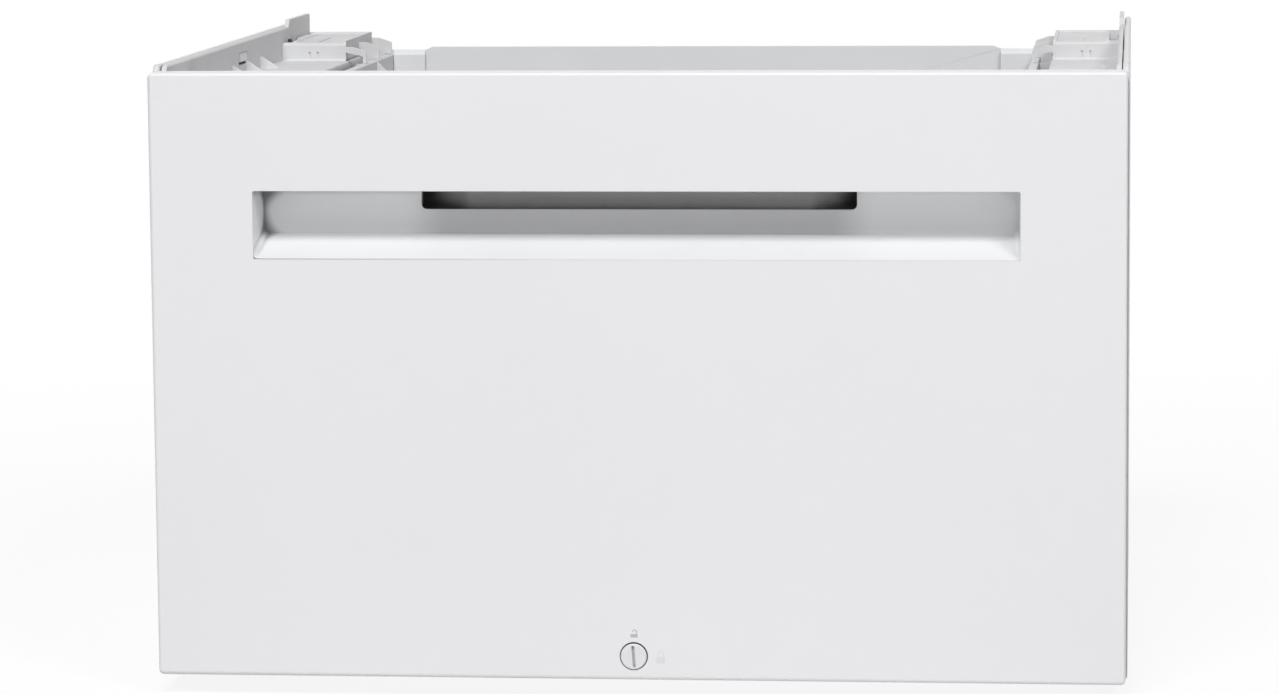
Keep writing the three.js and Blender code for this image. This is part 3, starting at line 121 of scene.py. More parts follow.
class Finish:
    """A material with a Principled shader, and short ways to vary it over the surface."""

    def __init__(self, name, roughness, metallic=0.0):
        self.material = bpy.data.materials.new(name)
        self.material.use_nodes = True
        self.tree = self.material.node_tree
        self.shader = self.tree.nodes["Principled BSDF"]
        self.shader.inputs["Roughness"].default_value = roughness
        self.shader.inputs["Metallic"].default_value = metallic
        self.place = self.add("ShaderNodeTexCoord").outputs["Object"]
        self.normal = None

    def add(self, kind, **settings):
        node = self.tree.nodes.new(kind)
        for key, value in settings.items():
            setattr(node, key, value)
        return node

    def link(self, source, target):
        self.tree.links.new(source, target)

    def stretched(self, stretch):
        """The object's own coordinates, stretched along its axes."""
        mapping = self.add("ShaderNodeMapping")
        mapping.inputs["Scale"].default_value = stretch
        self.link(self.place, mapping.inputs["Vector"])
        return mapping.outputs["Vector"]

    def noise(self, scale, detail=3.0, stretch=(1.0, 1.0, 1.0)):
        """Smooth noise with about that many waves to a metre."""
        texture = self.add("ShaderNodeTexNoise")
        texture.inputs["Scale"].default_value = scale
        texture.inputs["Detail"].default_value = detail
        self.link(self.stretched(stretch), texture.inputs["Vector"])
        return texture.outputs["Fac"]

    def cells(self, scale):
        """Crystal-like cells, each with its own value."""
        texture = self.add("ShaderNodeTexVoronoi")
        texture.inputs["Scale"].default_value = scale
        self.link(self.place, texture.inputs["Vector"])
        return texture.outputs["Color"]

    def spread(self, value, low, high, start=0.3, end=0.7):
        """Maps a value between start and end to one between low and high."""
        node = self.add("ShaderNodeMapRange", interpolation_type="SMOOTHSTEP")
        node.inputs["From Min"].default_value = start
        node.inputs["From Max"].default_value = end
        node.inputs["To Min"].default_value = low
        node.inputs["To Max"].default_value = high
        self.link(value, node.inputs["Value"])
        return node.outputs["Result"]

    def mix(self, share, first, second):
        """Mixes two colours, each a constant or a socket."""
        node = self.add("ShaderNodeMix", data_type="RGBA")
        self.link(share, node.inputs["Factor"])
        for colour, target in ((first, node.inputs[MIX_FIRST]), (second, node.inputs[MIX_SECOND])):
            if isinstance(colour, tuple):
                target.default_value = (*colour, 1.0)
            else:
                self.link(colour, target)
        return node.outputs[MIX_RESULT]

    # This edge mask carries wear on most finishes, painted shade on the enamels, and a painted highlight
    # on the trough and the moulding
    def edge_wear_and_painted_light(self, radius):
        """Near 1 along hard edges and 0 on flat stretches."""
        bevel = self.add("ShaderNodeBevel", samples=EDGE_RAYS)
        bevel.inputs["Radius"].default_value = radius
        geometry = self.add("ShaderNodeNewGeometry")
        dot = self.add("ShaderNodeVectorMath", operation="DOT_PRODUCT")
        self.link(bevel.outputs["Normal"], dot.inputs[0])
        self.link(geometry.outputs["Normal"], dot.inputs[1])
        return self.spread(dot.outputs["Value"], 1.0, 0.0, *EDGE_RANGE)

    def crevices(self, reach, deep, open_face):
        """1 where the surface is as hemmed in as deep, and 0 where it is as free as open_face."""
        shade = self.add("ShaderNodeAmbientOcclusion", samples=CREVICE_RAYS)
        shade.inputs["Distance"].default_value = reach
        return self.spread(shade.outputs["AO"], 1.0, 0.0, deep, open_face)

    def axis(self, letter):
        """One of the object's own coordinates, in metres."""
        split = self.add("ShaderNodeSeparateXYZ")
        self.link(self.place, split.inputs["Vector"])
        return split.outputs[letter]

    def unsigned(self, value):
        """A value without its sign."""
        node = self.add("ShaderNodeMath", operation="ABSOLUTE")
        self.link(value, node.inputs[0])
        return node.outputs["Value"]

    def product(self, first, second):
        """The product of two shares."""
        node = self.add("ShaderNodeMath", operation="MULTIPLY")
        self.link(first, node.inputs[0])
        self.link(second, node.inputs[1])
        return node.outputs["Value"]

    def colour(self, socket):
        self.link(socket, self.shader.inputs["Base Color"])

    def roughness(self, socket):
        self.link(socket, self.shader.inputs["Roughness"])

    def bump(self, height, depth, strength=1.0):
        """Adds a relief of that depth in metres to those already there."""
        node = self.add("ShaderNodeBump")
        node.inputs["Strength"].default_value = strength
        node.inputs["Distance"].default_value = depth
        self.link(height, node.inputs["Height"])
        if self.normal is not None:
            self.link(self.normal, node.inputs["Normal"])
        self.normal = node.outputs["Normal"]
        self.link(self.normal, self.shader.inputs["Normal"])


# ---------------------------------------------------------------------------------------------
# Materials, one for each slot of the record
# ---------------------------------------------------------------------------------------------


def enamel(name, edge_radius, edge_shade, gloss):
    """Enamel on sheet steel: faint orange peel, slightly uneven tone, and painted shade that greys it
    along the edges.
    """
    finish = Finish(name, roughness=0.3)
    finish.shader.inputs["Specular IOR Level"].default_value = gloss
    finish.shader.inputs["Coat Weight"].default_value = gloss / 4
    finish.shader.inputs["Coat Roughness"].default_value = 0.12
    tone = finish.mix(finish.noise(3.5), (0.765, 0.763, 0.785), (0.795, 0.793, 0.815))
    # Painted shade: the colour turns to the edge shade along hard edges
    finish.colour(finish.mix(finish.edge_wear_and_painted_light(edge_radius), tone, edge_shade))
    finish.roughness(finish.spread(finish.noise(9.0, detail=4.0), 0.29, 0.34, start=0.2, end=0.8))
    finish.bump(finish.noise(420.0, detail=2.0), 0.00002, 0.5)
    return finish.material


def white_paint():
    """Enamel of the panel, with faint painted shade along its edges."""
    return enamel("white_paint", edge_radius=0.0012, edge_shade=(0.73, 0.73, 0.745), gloss=0.3)


def hem_paint():
    """Duller enamel of the side skins, with strong painted shade that greys their narrow hems."""
    return enamel("hem_paint", edge_radius=0.003, edge_shade=(0.45, 0.455, 0.465), gloss=0.12)


def inner_paint():
    """Thinner, duller paint inside and behind, with faint drawing lines of the sheet."""
    finish = Finish("inner_paint", roughness=0.45)
    tone = finish.mix(finish.noise(6.0), (0.73, 0.735, 0.75), (0.79, 0.795, 0.805))
    edged = finish.mix(finish.edge_wear_and_painted_light(0.001), tone, (0.84, 0.84, 0.85))
    finish.colour(edged)
    finish.roughness(finish.spread(finish.noise(22.0, detail=4.0), 0.38, 0.55))
    finish.bump(finish.noise(350.0, detail=2.0), 0.00003, 0.5)
    finish.bump(finish.noise(60.0, detail=2.0, stretch=(1.0, 1.0, 9.0)), 0.00002, 0.4)
    return finish.material


def moulding():
    """Matt moulded plastic with a spark-eroded grain and faint flow marks, and edges lightened partly by
    wear, partly by a painted highlight.
    """
    finish = Finish("moulding", roughness=0.55)
    finish.shader.inputs["Specular IOR Level"].default_value = 0.3
    flow = finish.noise(9.0, detail=4.0, stretch=(1.0, 0.35, 1.0))
    tone = finish.mix(flow, (0.655, 0.657, 0.665), (0.715, 0.717, 0.725))
    # Lighter along the edges: partly wear, partly a painted highlight line
    edged = finish.mix(finish.edge_wear_and_painted_light(0.0012), tone, (0.76, 0.76, 0.765))
    finish.colour(edged)
    finish.roughness(finish.spread(finish.noise(30.0), 0.48, 0.64))
    finish.bump(finish.noise(1500.0, detail=2.0), 0.00004, 0.6)
    finish.bump(finish.noise(40.0, detail=2.0), 0.0001, 0.25)
    return finish.material


def trough_plastic():
    """Satin moulded plastic near the paint in colour, with painted shade in its folds and on its back
    below the finger slot, and painted light on the back beside the slot.
    """
    finish = Finish("trough_plastic", roughness=0.35)
    tone = finish.mix(finish.noise(7.0), (0.765, 0.77, 0.78), (0.805, 0.81, 0.815))
    # Lighter along the edges: a painted highlight, which shows most on the rim of the mouth
    edged = finish.mix(finish.edge_wear_and_painted_light(0.0008), tone, (0.88, 0.88, 0.88))
    # Painted shade on the back below the finger slot, and painted light on the back beside it
    below_slot_shade_mask = finish.spread(finish.unsigned(finish.axis("X")), 1.0, 0.0, *SLOT_SHADE_SPAN)
    back_start, back_end = (FACE_Y + BACK_DEPTH - short for short in BACK_BAND)
    back = finish.spread(finish.axis("Y"), 0.0, 1.0, back_start, back_end)
    painted_light_back = finish.mix(finish.noise(7.0), (0.855, 0.86, 0.87), (0.895, 0.9, 0.905))
    painted_shade_back = finish.mix(finish.noise(14.0), (0.6, 0.603, 0.612), (0.65, 0.653, 0.66))
    back_painted_light_and_shade = finish.mix(back, edged, finish.mix(below_slot_shade_mask, painted_light_back, painted_shade_back))
    # Painted shade in the folds, strongest at the left end
    left = finish.spread(finish.axis("X"), 1.0, FOLD_SHADE_LEAST, *FOLD_SHADE_SPAN)
    painted_fold_shade = finish.product(finish.crevices(reach=0.014, deep=0.45, open_face=0.76), left)
    finish.colour(finish.mix(painted_fold_shade, back_painted_light_and_shade, (0.24, 0.242, 0.247)))
    finish.roughness(finish.spread(finish.noise(25.0), 0.3, 0.42))
    finish.bump(finish.noise(900.0, detail=2.0), 0.00002, 0.4)
    return finish.material


def dark_plastic():
    """Grained dark grey plastic."""
    finish = Finish("dark_plastic", roughness=0.6)
    tone = finish.mix(finish.noise(12.0), (0.1, 0.102, 0.108), (0.14, 0.142, 0.148))
    edged = finish.mix(finish.edge_wear_and_painted_light(0.001), tone, (0.24, 0.24, 0.245))
    finish.colour(edged)
    finish.roughness(finish.spread(finish.noise(35.0), 0.5, 0.7))
    finish.bump(finish.noise(1200.0, detail=2.0), 0.00006, 0.6)
    return finish.material


def pocket_plastic():
    """Satin plastic of the finger pocket, made nearly black in its deep corners by painted shade."""
    finish = Finish("pocket_plastic", roughness=0.45)
    tone = finish.mix(finish.noise(12.0), (0.8, 0.802, 0.81), (0.85, 0.852, 0.86))
    edged = finish.mix(finish.edge_wear_and_painted_light(0.001), tone, (0.86, 0.86, 0.865))
    # Painted shade: darker where the pocket is hemmed in, towards its bottom and its ends
    painted_fold_shade = finish.crevices(reach=0.03, deep=0.22, open_face=0.35)
    finish.colour(finish.mix(painted_fold_shade, edged, (0.05, 0.05, 0.051)))
    finish.roughness(finish.spread(finish.noise(35.0), 0.4, 0.5))
    finish.bump(finish.noise(900.0, detail=2.0), 0.00001, 0.3)
    return finish.material


def knob_plastic():
    """Slightly greyer moulded plastic of the coin lock's knob, with painted shade in its slot."""
    finish = Finish("knob_plastic", roughness=0.4)
    tone = finish.mix(finish.noise(45.0), (0.7, 0.702, 0.71), (0.74, 0.742, 0.75))
    edged = finish.mix(finish.edge_wear_and_painted_light(0.0004), tone, (0.8, 0.8, 0.805))
    # Painted shade: darker where the slot hems the surface in
    painted_slot_shade = finish.crevices(reach=0.0018, deep=0.5, open_face=0.85)
    finish.colour(finish.mix(painted_slot_shade, edged, (0.44, 0.442, 0.45)))
    finish.roughness(finish.spread(finish.noise(60.0), 0.34, 0.46))
    finish.bump(finish.noise(1400.0, detail=2.0), 0.00002, 0.4)
    return finish.material


def zinc():
    """Zinc plated steel: small crystals, drawn lines and a slightly uneven shine."""
    finish = Finish("zinc", roughness=0.38, metallic=1.0)
    crystals = finish.mix(finish.cells(260.0), (0.58, 0.59, 0.6), (0.66, 0.67, 0.68))
    tone = finish.mix(finish.noise(10.0, detail=4.0), crystals, (0.52, 0.53, 0.55))
    edged = finish.mix(finish.edge_wear_and_painted_light(0.0008), tone, (0.8, 0.8, 0.8))
    finish.colour(edged)
    finish.roughness(finish.spread(finish.noise(28.0, detail=4.0), 0.3, 0.48))
    finish.bump(finish.noise(160.0, detail=2.0, stretch=(1.0, 0.06, 1.0)), 0.00002, 0.4)
    return finish.material


def rubber():
    """Matt black rubber with a dusty bloom."""
    finish = Finish("rubber", roughness=0.85)
    tone = finish.mix(finish.noise(60.0, detail=4.0), (0.022, 0.022, 0.024), (0.05, 0.05, 0.052))
    finish.colour(tone)
    finish.roughness(finish.spread(finish.noise(90.0), 0.78, 0.92))
    finish.bump(finish.noise(700.0), 0.00008, 0.6)
    return finish.material


def print_ink(name, dark, pale):
    """Thin printing ink, slightly uneven in cover."""
    finish = Finish(name, roughness=0.5)
    finish.colour(finish.mix(finish.noise(1800.0, detail=2.0), dark, pale))
    finish.bump(finish.noise(2500.0, detail=2.0), 0.00001, 0.3)
    return finish.material


MAKERS = {
    "white_paint": white_paint,
    "inner_paint": inner_paint,
    "moulding": moulding,
    "trough_plastic": trough_plastic,
    "dark_plastic": dark_plastic,
    "zinc": zinc,
    "rubber": rubber,
}
MATERIALS = {slot: make() for slot, make in MAKERS.items()}

# Nodes whose shade differs from the rest of their slot
OWN_MATERIALS = dict.fromkeys(("side_skin_left", "side_skin_right"), hem_paint())
OWN_MATERIALS["finger_pocket"] = pocket_plastic()
OWN_MATERIALS["lock_knob"] = knob_plastic()


# ---------------------------------------------------------------------------------------------
# The CAD pieces: finish and softened edges
# ---------------------------------------------------------------------------------------------

EDGES = {
    "white_paint": SHEET_EDGE,
    "inner_paint": SHEET_EDGE,
    "moulding": MOULDED_EDGE,
    "trough_plastic": MOULDED_EDGE,
    "dark_plastic": MOULDED_EDGE,
    "zinc": SHEET_EDGE,
    "rubber": MOULDED_EDGE,
}


def soften(piece, width):
    """Welds the faceted mesh and rounds its hard edges a little, so that they catch the light."""
    weld = piece.modifiers.new("weld", "WELD")
    weld.merge_threshold = WELD_REACH
    bevel = piece.modifiers.new("edges", "BEVEL")
    bevel.width = width
    bevel.segments = EDGE_SEGMENTS
    bevel.limit_method = "ANGLE"
    bevel.angle_limit = math.radians(EDGE_ANGLE)
    bevel.use_clamp_overlap = True
    even = piece.modifiers.new("even", "WEIGHTED_NORMAL")
    even.mode = "FACE_AREA"
    even.weight = SMOOTH_WEIGHT
    even.keep_sharp = True
    for face in piece.data.polygons:
        face.use_smooth = True


def dress_cad():
    """Gives each CAD node the finish of its slot."""
    for row in RECORD["subparts"]:
        piece, slot = NODES[row["node"]], row["material_slot"]
        piece.data.materials.clear()
        piece.data.materials.append(OWN_MATERIALS.get(row["node"], MATERIALS[slot]))
        soften(piece, EDGES[slot])


# ---------------------------------------------------------------------------------------------
# Building blocks of the added pieces
# ---------------------------------------------------------------------------------------------

ARC_STEPS = 14
CORNER_STEPS = 4
ROUND_SIDES = 24


def arc(centre, radius, start, end, steps=ARC_STEPS):
    """Points [across, up] of an arc, angles in degrees from across towards up."""
    turns = [math.radians(start + (end - start) * k / steps) for k in range(steps + 1)]
    return [(centre[0] + radius * math.cos(a), centre[1] + radius * math.sin(a)) for a in turns]


def rounded_box(centre, width, height, radius):
    """Outline of a box with rounded corners."""
    dx, dz = width / 2 - radius, height / 2 - radius
    corners = [(dx, -dz, 270), (dx, dz, 0), (-dx, dz, 90), (-dx, -dz, 180)]
    outline = []
    for x, z, start in corners:
        outline += arc((centre[0] + x, centre[1] + z), radius, start, start + 90, CORNER_STEPS)
    return outline


def ring_of(shape, place, across, up, radii):
    """Closed ring of points round a place, one for each radius."""
    points = []
    for k, radius in enumerate(radii):
        turn = 2 * math.pi * k / len(radii)
        way = math.cos(turn) * across + math.sin(turn) * up
        points.append(shape.verts.new(place + radius * way))
    return points


def bridge(shape, rings):
    """Joins each ring of points to the next one."""
    for near, far in zip(rings, rings[1:]):
        count = len(near)
        for k in range(count):
            following = (k + 1) % count
            shape.faces.new((near[k], near[following], far[following], far[k]))


def closed(shape, rings):
    """A solid through rings of points, closed at both ends."""
    bridge(shape, rings)
    shape.faces.new(rings[0][::-1])
    shape.faces.new(rings[-1])


def lofted(shape, outlines):
    """A closed solid through outlines of equally many points [x, y, z]."""
    closed(shape, [[shape.verts.new(point) for point in outline] for outline in outlines])


def add_piece(name, shape, material, body):
    """Turns a bmesh into a piece that rides on a body."""
    bmesh.ops.recalc_face_normals(shape, faces=shape.faces)
    mesh = bpy.data.meshes.new(name)
    shape.to_mesh(mesh)
    shape.free()
    mesh.materials.append(material)
    piece = bpy.data.objects.new(name, mesh)
    bpy.context.scene.collection.objects.link(piece)
    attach(piece, body)


# ---------------------------------------------------------------------------------------------
# Printed padlock marks beside the knob
# ---------------------------------------------------------------------------------------------

INK_RAISE = 0.00004
INK_SINK = 0.0001

# A padlock's place, right of the knob's centre and above it, then its body's width, height and corner
# radius, the body's drop, the bow's place, and the bow's radius, stroke and two leg lengths
OPEN_PADLOCK = {
    "place": (0.0003, 0.0143),
    "body": (0.0044, 0.0021, 0.0004),
    "body_drop": 0.0014,
    "bow_place": (0.0004, 0.0012),
    "bow": (0.0014, 0.0006, 0.0002, 0.0017),
}
CLOSED_PADLOCK = {
    "place": (0.0166, 0.0003),
    "body": (0.0054, 0.0038, 0.0006),
    "body_drop": 0.0026,
    "bow_place": (0.0, 0.0016),
    "bow": (0.0019, 0.0008, 0.0024, 0.0024),
}


def shackle(centre, radius, stroke, left_leg, right_leg):
    """Outline of a padlock's shackle: an arch with two legs."""
    outer = arc(centre, radius, 0, 180)
    inner = arc(centre, radius - stroke, 180, 0)
    x, z = centre
    left = [(x - radius, z - left_leg), (x - radius + stroke, z - left_leg)]
    right = [(x + radius - stroke, z - right_leg), (x + radius, z - right_leg)]
    return outer + left + inner + right


def mark(name, outlines, material):
    """A flat printed mark on the panel's face, from outlines [x, z]."""
    shape = bmesh.new()
    for outline in outlines:
        faces = [[(x, FACE_Y + depth, z) for x, z in outline] for depth in (-INK_RAISE, INK_SINK)]
        lofted(shape, faces)
    add_piece(name, shape, material, "drawer")


def padlock(name, sizes, ink):
    """A printed padlock: its body and its bow."""
    x, z = KNOB_X + sizes["place"][0], KNOB_Z + sizes["place"][1]
    bow_x, bow_z = sizes["bow_place"]
    body = rounded_box((x, z - sizes["body_drop"]), *sizes["body"])
    bow = shackle((x + bow_x, z + bow_z), *sizes["bow"])
    mark(name, [body, bow], ink)


def padlock_marks():
    """An open padlock above the knob, and a fainter closed one to its right."""
    dark = print_ink("mark_ink", (0.42, 0.42, 0.43), (0.48, 0.48, 0.49))
    faint = print_ink("faint_ink", (0.69, 0.69, 0.705), (0.72, 0.72, 0.735))
    padlock("mark_open", OPEN_PADLOCK, dark)
    padlock("mark_closed", CLOSED_PADLOCK, faint)


# ---------------------------------------------------------------------------------------------
# Dark ring round the knob, a painted shadow of the gap
# ---------------------------------------------------------------------------------------------

# Gap to the knob, width of the dark ring, extra width of its lip where that is widest, the direction of
# that place in degrees, and how far lip and ring stand proud of the panel or reach into it. The ring is a
# painted shadow
SHADOW_RING_INNER = 0.00006
SHADOW_RING_WIDTH = 0.0003
SHADOW_RING_LIP = 0.0006
SHADOW_RING_LEAN = 70.0
SHADOW_RING_FRONT = 0.00006
SHADOW_RING_SINK = 0.00005
SHADOW_RING_DEPTH = 0.0009
SHADOW_RING_SIDES = 64


def knob_shadow_ring():
    """Thin dark rubber ring between the knob and the panel's hole, a painted shadow of the gap, with its
    lip widest at the upper right, where that shadow is darkest.
    """
    shape = bmesh.new()
    across, up = Vector((1, 0, 0)), Vector((0, 0, 1))
    turns = [2 * math.pi * k / SHADOW_RING_SIDES - math.radians(SHADOW_RING_LEAN) for k in range(SHADOW_RING_SIDES)]
    inner = [(KNOB_HIGH.x - KNOB_LOW.x) / 2 + SHADOW_RING_INNER] * SHADOW_RING_SIDES
    outer = [radius + SHADOW_RING_WIDTH for radius in inner]
    lip = [radius + SHADOW_RING_LIP * (1 + math.cos(turn)) / 2 for radius, turn in zip(outer, turns)]
    profile = [
        (inner, SHADOW_RING_DEPTH), (inner, -SHADOW_RING_FRONT), (lip, -SHADOW_RING_FRONT), (lip, SHADOW_RING_SINK),
        (outer, SHADOW_RING_SINK), (outer, SHADOW_RING_DEPTH),
    ]
    rings = []
    for radii, depth in profile:
        place = Vector((KNOB_X, FACE_Y + depth, KNOB_Z))
        rings.append(ring_of(shape, place, across, up, radii))
    bridge(shape, rings + rings[:1])
    add_piece("lock_shadow_ring", shape, MATERIALS["rubber"], "drawer")


# ---------------------------------------------------------------------------------------------
# Screws of the rear flanges and of the panel's brackets
# ---------------------------------------------------------------------------------------------

# Heights of a head's rim and dome and its sink, then the dome's shoulder and crown and the cross
# recess as shares of the dome's height or of the head's radius
SCREW_RIM = 0.0007
SCREW_DOME = 0.0008
SCREW_SINK = 0.00012
SHOULDER_RISE = 0.7
SHOULDER_WIDTH = 0.85
CROWN_WIDTH = 0.6
CROSS_REACH = 0.5
CROSS_HALF = 0.16
CROSS_TAPER = 0.7
CROSS_DEPTH = 0.0009

# Places: insets from the outer edge of the flange or bracket, heights, and the brackets' sheet
REAR_SCREW_RADIUS = 0.0038
REAR_SCREW_INSET = 0.008
REAR_SCREW_HEIGHTS = (0.045, 0.19, 0.335)
BRACKET_SCREW_RADIUS = 0.0042
BRACKET_HOLE_INSET = 0.01395
BRACKET_HOLE_RISE = 0.035
BRACKET_SHEET = 0.0015


def cross_radius(turn):
    """Outline of a cross recess, as a share of the head's radius, at an angle."""
    lean = (turn + math.pi / 4) % (math.pi / 2) - math.pi / 4
    if abs(math.tan(lean)) <= CROSS_HALF / CROSS_REACH:
        return CROSS_REACH / math.cos(lean)
    return CROSS_HALF / abs(math.sin(lean))


def screw_head(shape, place, out, radius):
    """Pan head with a cross recess on a face that looks along out."""
    across = out.orthogonal().normalized()
    up = out.cross(across)
    top = SCREW_RIM + SCREW_DOME
    whole = [radius] * ROUND_SIDES
    cross = [radius * cross_radius(2 * math.pi * k / ROUND_SIDES) for k in range(ROUND_SIDES)]
    levels = [
        (-SCREW_SINK, whole),
        (SCREW_RIM, whole),
        (SCREW_RIM + SCREW_DOME * SHOULDER_RISE, [SHOULDER_WIDTH * r for r in whole]),
        (top, [max(CROWN_WIDTH * radius, r) for r in cross]),
        (top, cross),
        (top - CROSS_DEPTH, [CROSS_TAPER * r for r in cross]),
    ]
    rings = [ring_of(shape, place + height * out, across, up, radii) for height, radii in levels]
    closed(shape, rings)


def screws(name, places, out, radius, body):
    """A group of equal screws as one piece."""
    shape = bmesh.new()
    for place in places:
        screw_head(shape, Vector(place), Vector(out), radius)
    add_piece(name, shape, MATERIALS["zinc"], body)


def fasteners():
    """Screws through the side skins' rear flanges and through the brackets behind the panel."""
    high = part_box("side_skin_right")[1]
    backwards = (0, 1, 0)
    for side, word in ((-1, "left"), (1, "right")):
        x = side * (high.x - REAR_SCREW_INSET)
        rear = [(x, high.y, z) for z in REAR_SCREW_HEIGHTS]
        screws("rear_screws_" + word, rear, backwards, REAR_SCREW_RADIUS, "carcass")
        corner_low, corner_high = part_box("front_bracket_" + word)
        middle = (corner_low.z + corner_high.z) / 2
        outer = corner_high.x if side > 0 else corner_low.x
        x = outer - side * BRACKET_HOLE_INSET
        seat = corner_low.y + BRACKET_SHEET
        held = [(x, seat, middle + k * BRACKET_HOLE_RISE) for k in (-1, 1)]
        screws("bracket_screws_" + word, held, backwards, BRACKET_SCREW_RADIUS, "drawer")


# ---------------------------------------------------------------------------------------------
# Small trim of the carcass: lugs of the skins, beads of the rear platforms, and a dark piece painting a
# hole's shadow on one of them
# ---------------------------------------------------------------------------------------------

# Insets are measured in from a side skin's outer face, drops down from the panel's top edge, and
# depths back from the panel's face, but for the depth of the hole's painted shadow, which is from its
# platform's front
HEM_INSET = 0.0042
LUG_SINK = 0.0002
LUG_REACH = 0.0032
LUG_BEVEL = 0.0006
LUG_CORNER = 0.002
LUG_DEPTHS = (0.2765, 0.3007)
LUG_DROPS = (0.0049, 0.0113)
BEAD_INSETS = (0.0082, 0.0528)
BEAD_RADIUS = 0.0008
BEAD_SINK = 0.0006
BEAD_STEPS = 8
SHELF_DROP = 0.0195
HOLE_SHADOW_INSET = 0.0102
HOLE_SHADOW_DEPTH = 0.0195
HOLE_SHADOW_DROP = 0.0085
# Rises and radii of the dark piece that paints the hole's shadow, from its foot to its top
HOLE_SHADOW_PROFILE = ((-0.0002, 0.0015), (0.0022, 0.0015), (0.0029, 0.0012), (0.0032, 0.0006))


def skin_lug(side, word, outside):
    """Lug of the hem that fills most of the opening in the frame's outer plate."""
    middle = (FACE_Y + sum(LUG_DEPTHS) / 2, SKIN_HIGH.z - sum(LUG_DROPS) / 2)
    length, height = LUG_DEPTHS[1] - LUG_DEPTHS[0], LUG_DROPS[1] - LUG_DROPS[0]
    levels = ((-LUG_SINK, 0.0), (LUG_REACH - LUG_BEVEL, 0.0), (LUG_REACH, LUG_BEVEL))
    outlines = []
    for reach, bevel in levels:
        x = side * (outside - HEM_INSET - reach)
        outline = rounded_box(middle, length - 2 * bevel, height - 2 * bevel, LUG_CORNER - bevel)
        outlines.append([(x, y, z) for y, z in outline])
    shape = bmesh.new()
    lofted(shape, outlines)
    add_piece("skin_lug_" + word, shape, MATERIALS["white_paint"], "carcass")


def platform_bead(side, word, outside):
    """Hollow bead along the foot of a rear platform's front, which covers the joint with the shelf."""
    front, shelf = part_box("rear_platform_" + word)[0].y, SKIN_HIGH.z - SHELF_DROP
    hollow = arc((front - BEAD_RADIUS, shelf + BEAD_RADIUS), BEAD_RADIUS, 270, 360, BEAD_STEPS)
    section = hollow + [(front + BEAD_SINK, shelf + BEAD_RADIUS), (front + BEAD_SINK, shelf - BEAD_SINK)]
    section.append((front - BEAD_RADIUS, shelf - BEAD_SINK))
    shape = bmesh.new()
    lofted(shape, [[(side * (outside - inset), y, z) for y, z in section] for inset in BEAD_INSETS])
    add_piece("platform_bead_" + word, shape, MATERIALS["moulding"], "carcass")


def platform_hole_shadow(side, word, outside):
    """Black rubber piece in the recess beside the fin, a painted shadow of a hole there."""
    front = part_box("rear_platform_" + word)[0].y
    place = Vector((side * (outside - HOLE_SHADOW_INSET), front + HOLE_SHADOW_DEPTH, SKIN_HIGH.z - HOLE_SHADOW_DROP))
    across, up = Vector((1, 0, 0)), Vector((0, 1, 0))
    shape = bmesh.new()
    rings = []
    for rise, radius in HOLE_SHADOW_PROFILE:
        rings.append(ring_of(shape, place + Vector((0, 0, rise)), across, up, [radius] * ROUND_SIDES))
    closed(shape, rings)
    add_piece("platform_shadow_piece_" + word, shape, MATERIALS["rubber"], "carcass")


def carcass_trim():
    """The small trim of both sides. Only the left platform has the dark piece for a hole's shadow."""
    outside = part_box("side_skin_right")[1].x
    for side, word in ((-1, "left"), (1, "right")):
        skin_lug(side, word, outside)
        platform_bead(side, word, outside)
    platform_hole_shadow(-1, "left", outside)


# ---------------------------------------------------------------------------------------------
# Floor, light and camera
# ---------------------------------------------------------------------------------------------


def white_to_camera(tree, shader, white):
    """Shows the camera, reflections and glass another shader than the one that lights the object."""
    path = tree.nodes.new("ShaderNodeLightPath")
    total = path.outputs["Is Camera Ray"]
    for ray in ("Is Glossy Ray", "Is Transmission Ray"):
        greater = tree.nodes.new("ShaderNodeMath")
        greater.operation = "MAXIMUM"
        tree.links.new(total, greater.inputs[0])
        tree.links.new(path.outputs[ray], greater.inputs[1])
        total = greater.outputs[0]
    mixed = tree.nodes.new("ShaderNodeMixShader")
    tree.links.new(total, mixed.inputs[0])
    tree.links.new(shader, mixed.inputs[1])
    tree.links.new(white, mixed.inputs[2])
    return mixed


def floor_finish():
    """Lights the object as a pale floor, and looks nearly white but for the shadow."""
    finish = Finish("floor", roughness=0.9)
    finish.shader.inputs["Base Color"].default_value = (FLOOR_BOUNCE, FLOOR_BOUNCE, FLOOR_BOUNCE, 1.0)
    finish.shader.inputs["Specular IOR Level"].default_value = 0.1
    shaded = finish.add("ShaderNodeBsdfDiffuse")
    shaded.inputs["Color"].default_value = PURE_WHITE
    white = finish.add("ShaderNodeEmission")
    away = finish.add("ShaderNodeVectorMath", operation="LENGTH")
    finish.link(finish.place, away.inputs[0])
    share = finish.spread(away.outputs["Value"], FLOOR_WHITE, 1.0, FLOOR_NEAR, FLOOR_FAR)
    seen = finish.add("ShaderNodeMixShader")
    finish.link(share, seen.inputs[0])
    finish.link(shaded.outputs[0], seen.inputs[1])
    finish.link(white.outputs[0], seen.inputs[2])
    mixed = white_to_camera(finish.tree, finish.shader.outputs[0], seen.outputs[0])
    finish.link(mixed.outputs[0], finish.tree.nodes["Material Output"].inputs["Surface"])
    return finish.material


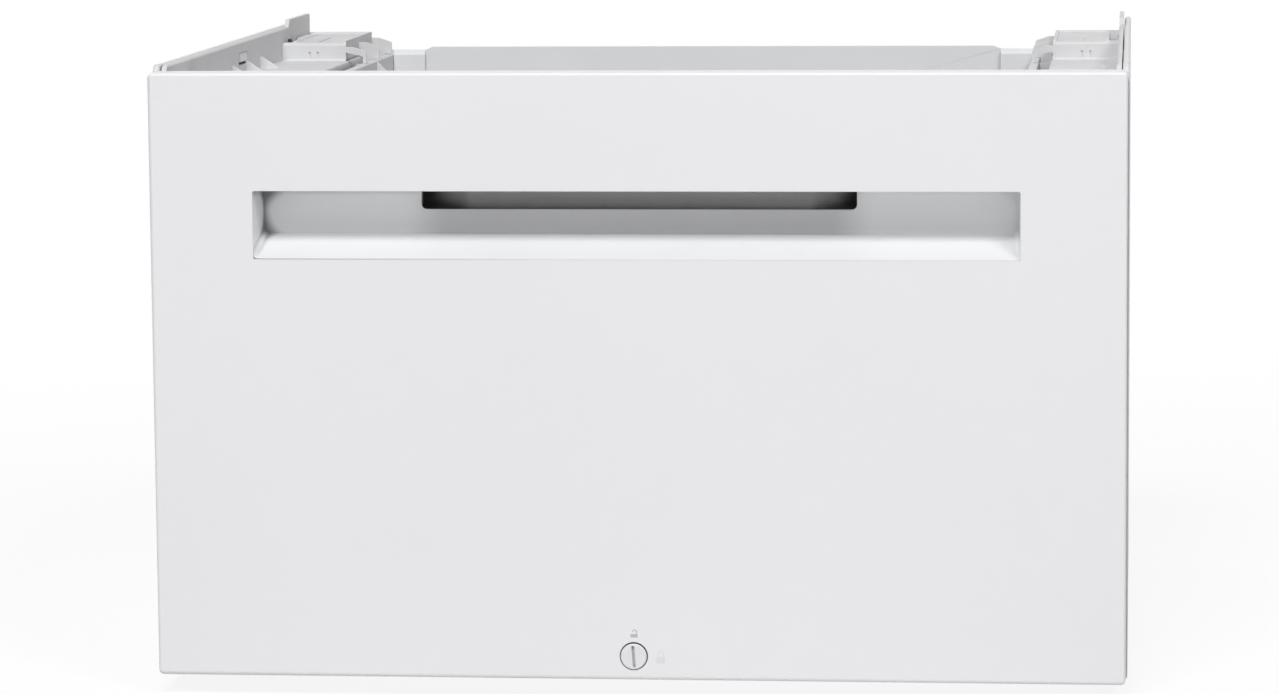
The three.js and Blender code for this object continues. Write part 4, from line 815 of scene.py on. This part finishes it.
def floor():
    """Plain pale floor that keeps the shadow and reads as white around it."""
    mesh = bpy.data.meshes.new("floor")
    corners = [(-1, -1), (1, -1), (1, 1), (-1, 1)]
    points = [(x * FLOOR_HALF, y * FLOOR_HALF, -FLOOR_DROP) for x, y in corners]
    mesh.from_pydata(points, [], [(0, 1, 2, 3)])
    mesh.materials.append(floor_finish())
    plane = bpy.data.objects.new("floor", mesh)
    bpy.context.scene.collection.objects.link(plane)


def room():
    """Even pale light from all round, seen as white."""
    world = bpy.data.worlds.new("room")
    bpy.context.scene.world = world
    world.use_nodes = True
    tree = world.node_tree
    even = tree.nodes["Background"]
    even.inputs["Color"].default_value = PURE_WHITE
    even.inputs["Strength"].default_value = ROOM_LEVEL
    white = tree.nodes.new("ShaderNodeBackground")
    white.inputs["Color"].default_value = PURE_WHITE
    mixed = white_to_camera(tree, even.outputs[0], white.outputs[0])
    tree.links.new(mixed.outputs[0], tree.nodes["World Output"].inputs["Surface"])


def lamp(name, place, size, power):
    """A large square lamp that faces the object."""
    light = bpy.data.lights.new(name, "AREA")
    light.size = size
    light.energy = power
    holder = bpy.data.objects.new(name, light)
    bpy.context.scene.collection.objects.link(holder)
    holder.location = place
    way = Vector(LAMP_TARGET) - Vector(place)
    holder.rotation_euler = way.to_track_quat("-Z", "Y").to_euler()


def camera():
    """Camera at the photograph's viewpoint, turned to the object."""
    data = bpy.data.cameras.new("camera")
    data.sensor_width = SENSOR
    data.lens = CAMERA_LENS
    data.clip_start = CAMERA_NEAR
    data.clip_end = CAMERA_FAR
    holder = bpy.data.objects.new("camera", data)
    bpy.context.scene.collection.objects.link(holder)
    holder.location = CAMERA_PLACE
    turn = Matrix.Rotation(math.radians(CAMERA_TURN), 3, "Z")
    tilt = Matrix.Rotation(math.radians(90.0 - CAMERA_TILT), 3, "X")
    roll = Matrix.Rotation(math.radians(CAMERA_ROLL), 3, "Z")
    holder.rotation_euler = (turn @ tilt @ roll).to_euler()
    bpy.context.scene.camera = holder


dress_cad()
padlock_marks()
knob_shadow_ring()
fasteners()
carcass_trim()
floor()
room()
lamp("key", KEY_PLACE, KEY_SIZE, KEY_POWER)
lamp("side", SIDE_PLACE, SIDE_SIZE, SIDE_POWER)
lamp("rear", REAR_PLACE, REAR_SIZE, REAR_POWER)
camera()
bpy.context.scene.view_settings.view_transform = "Standard"
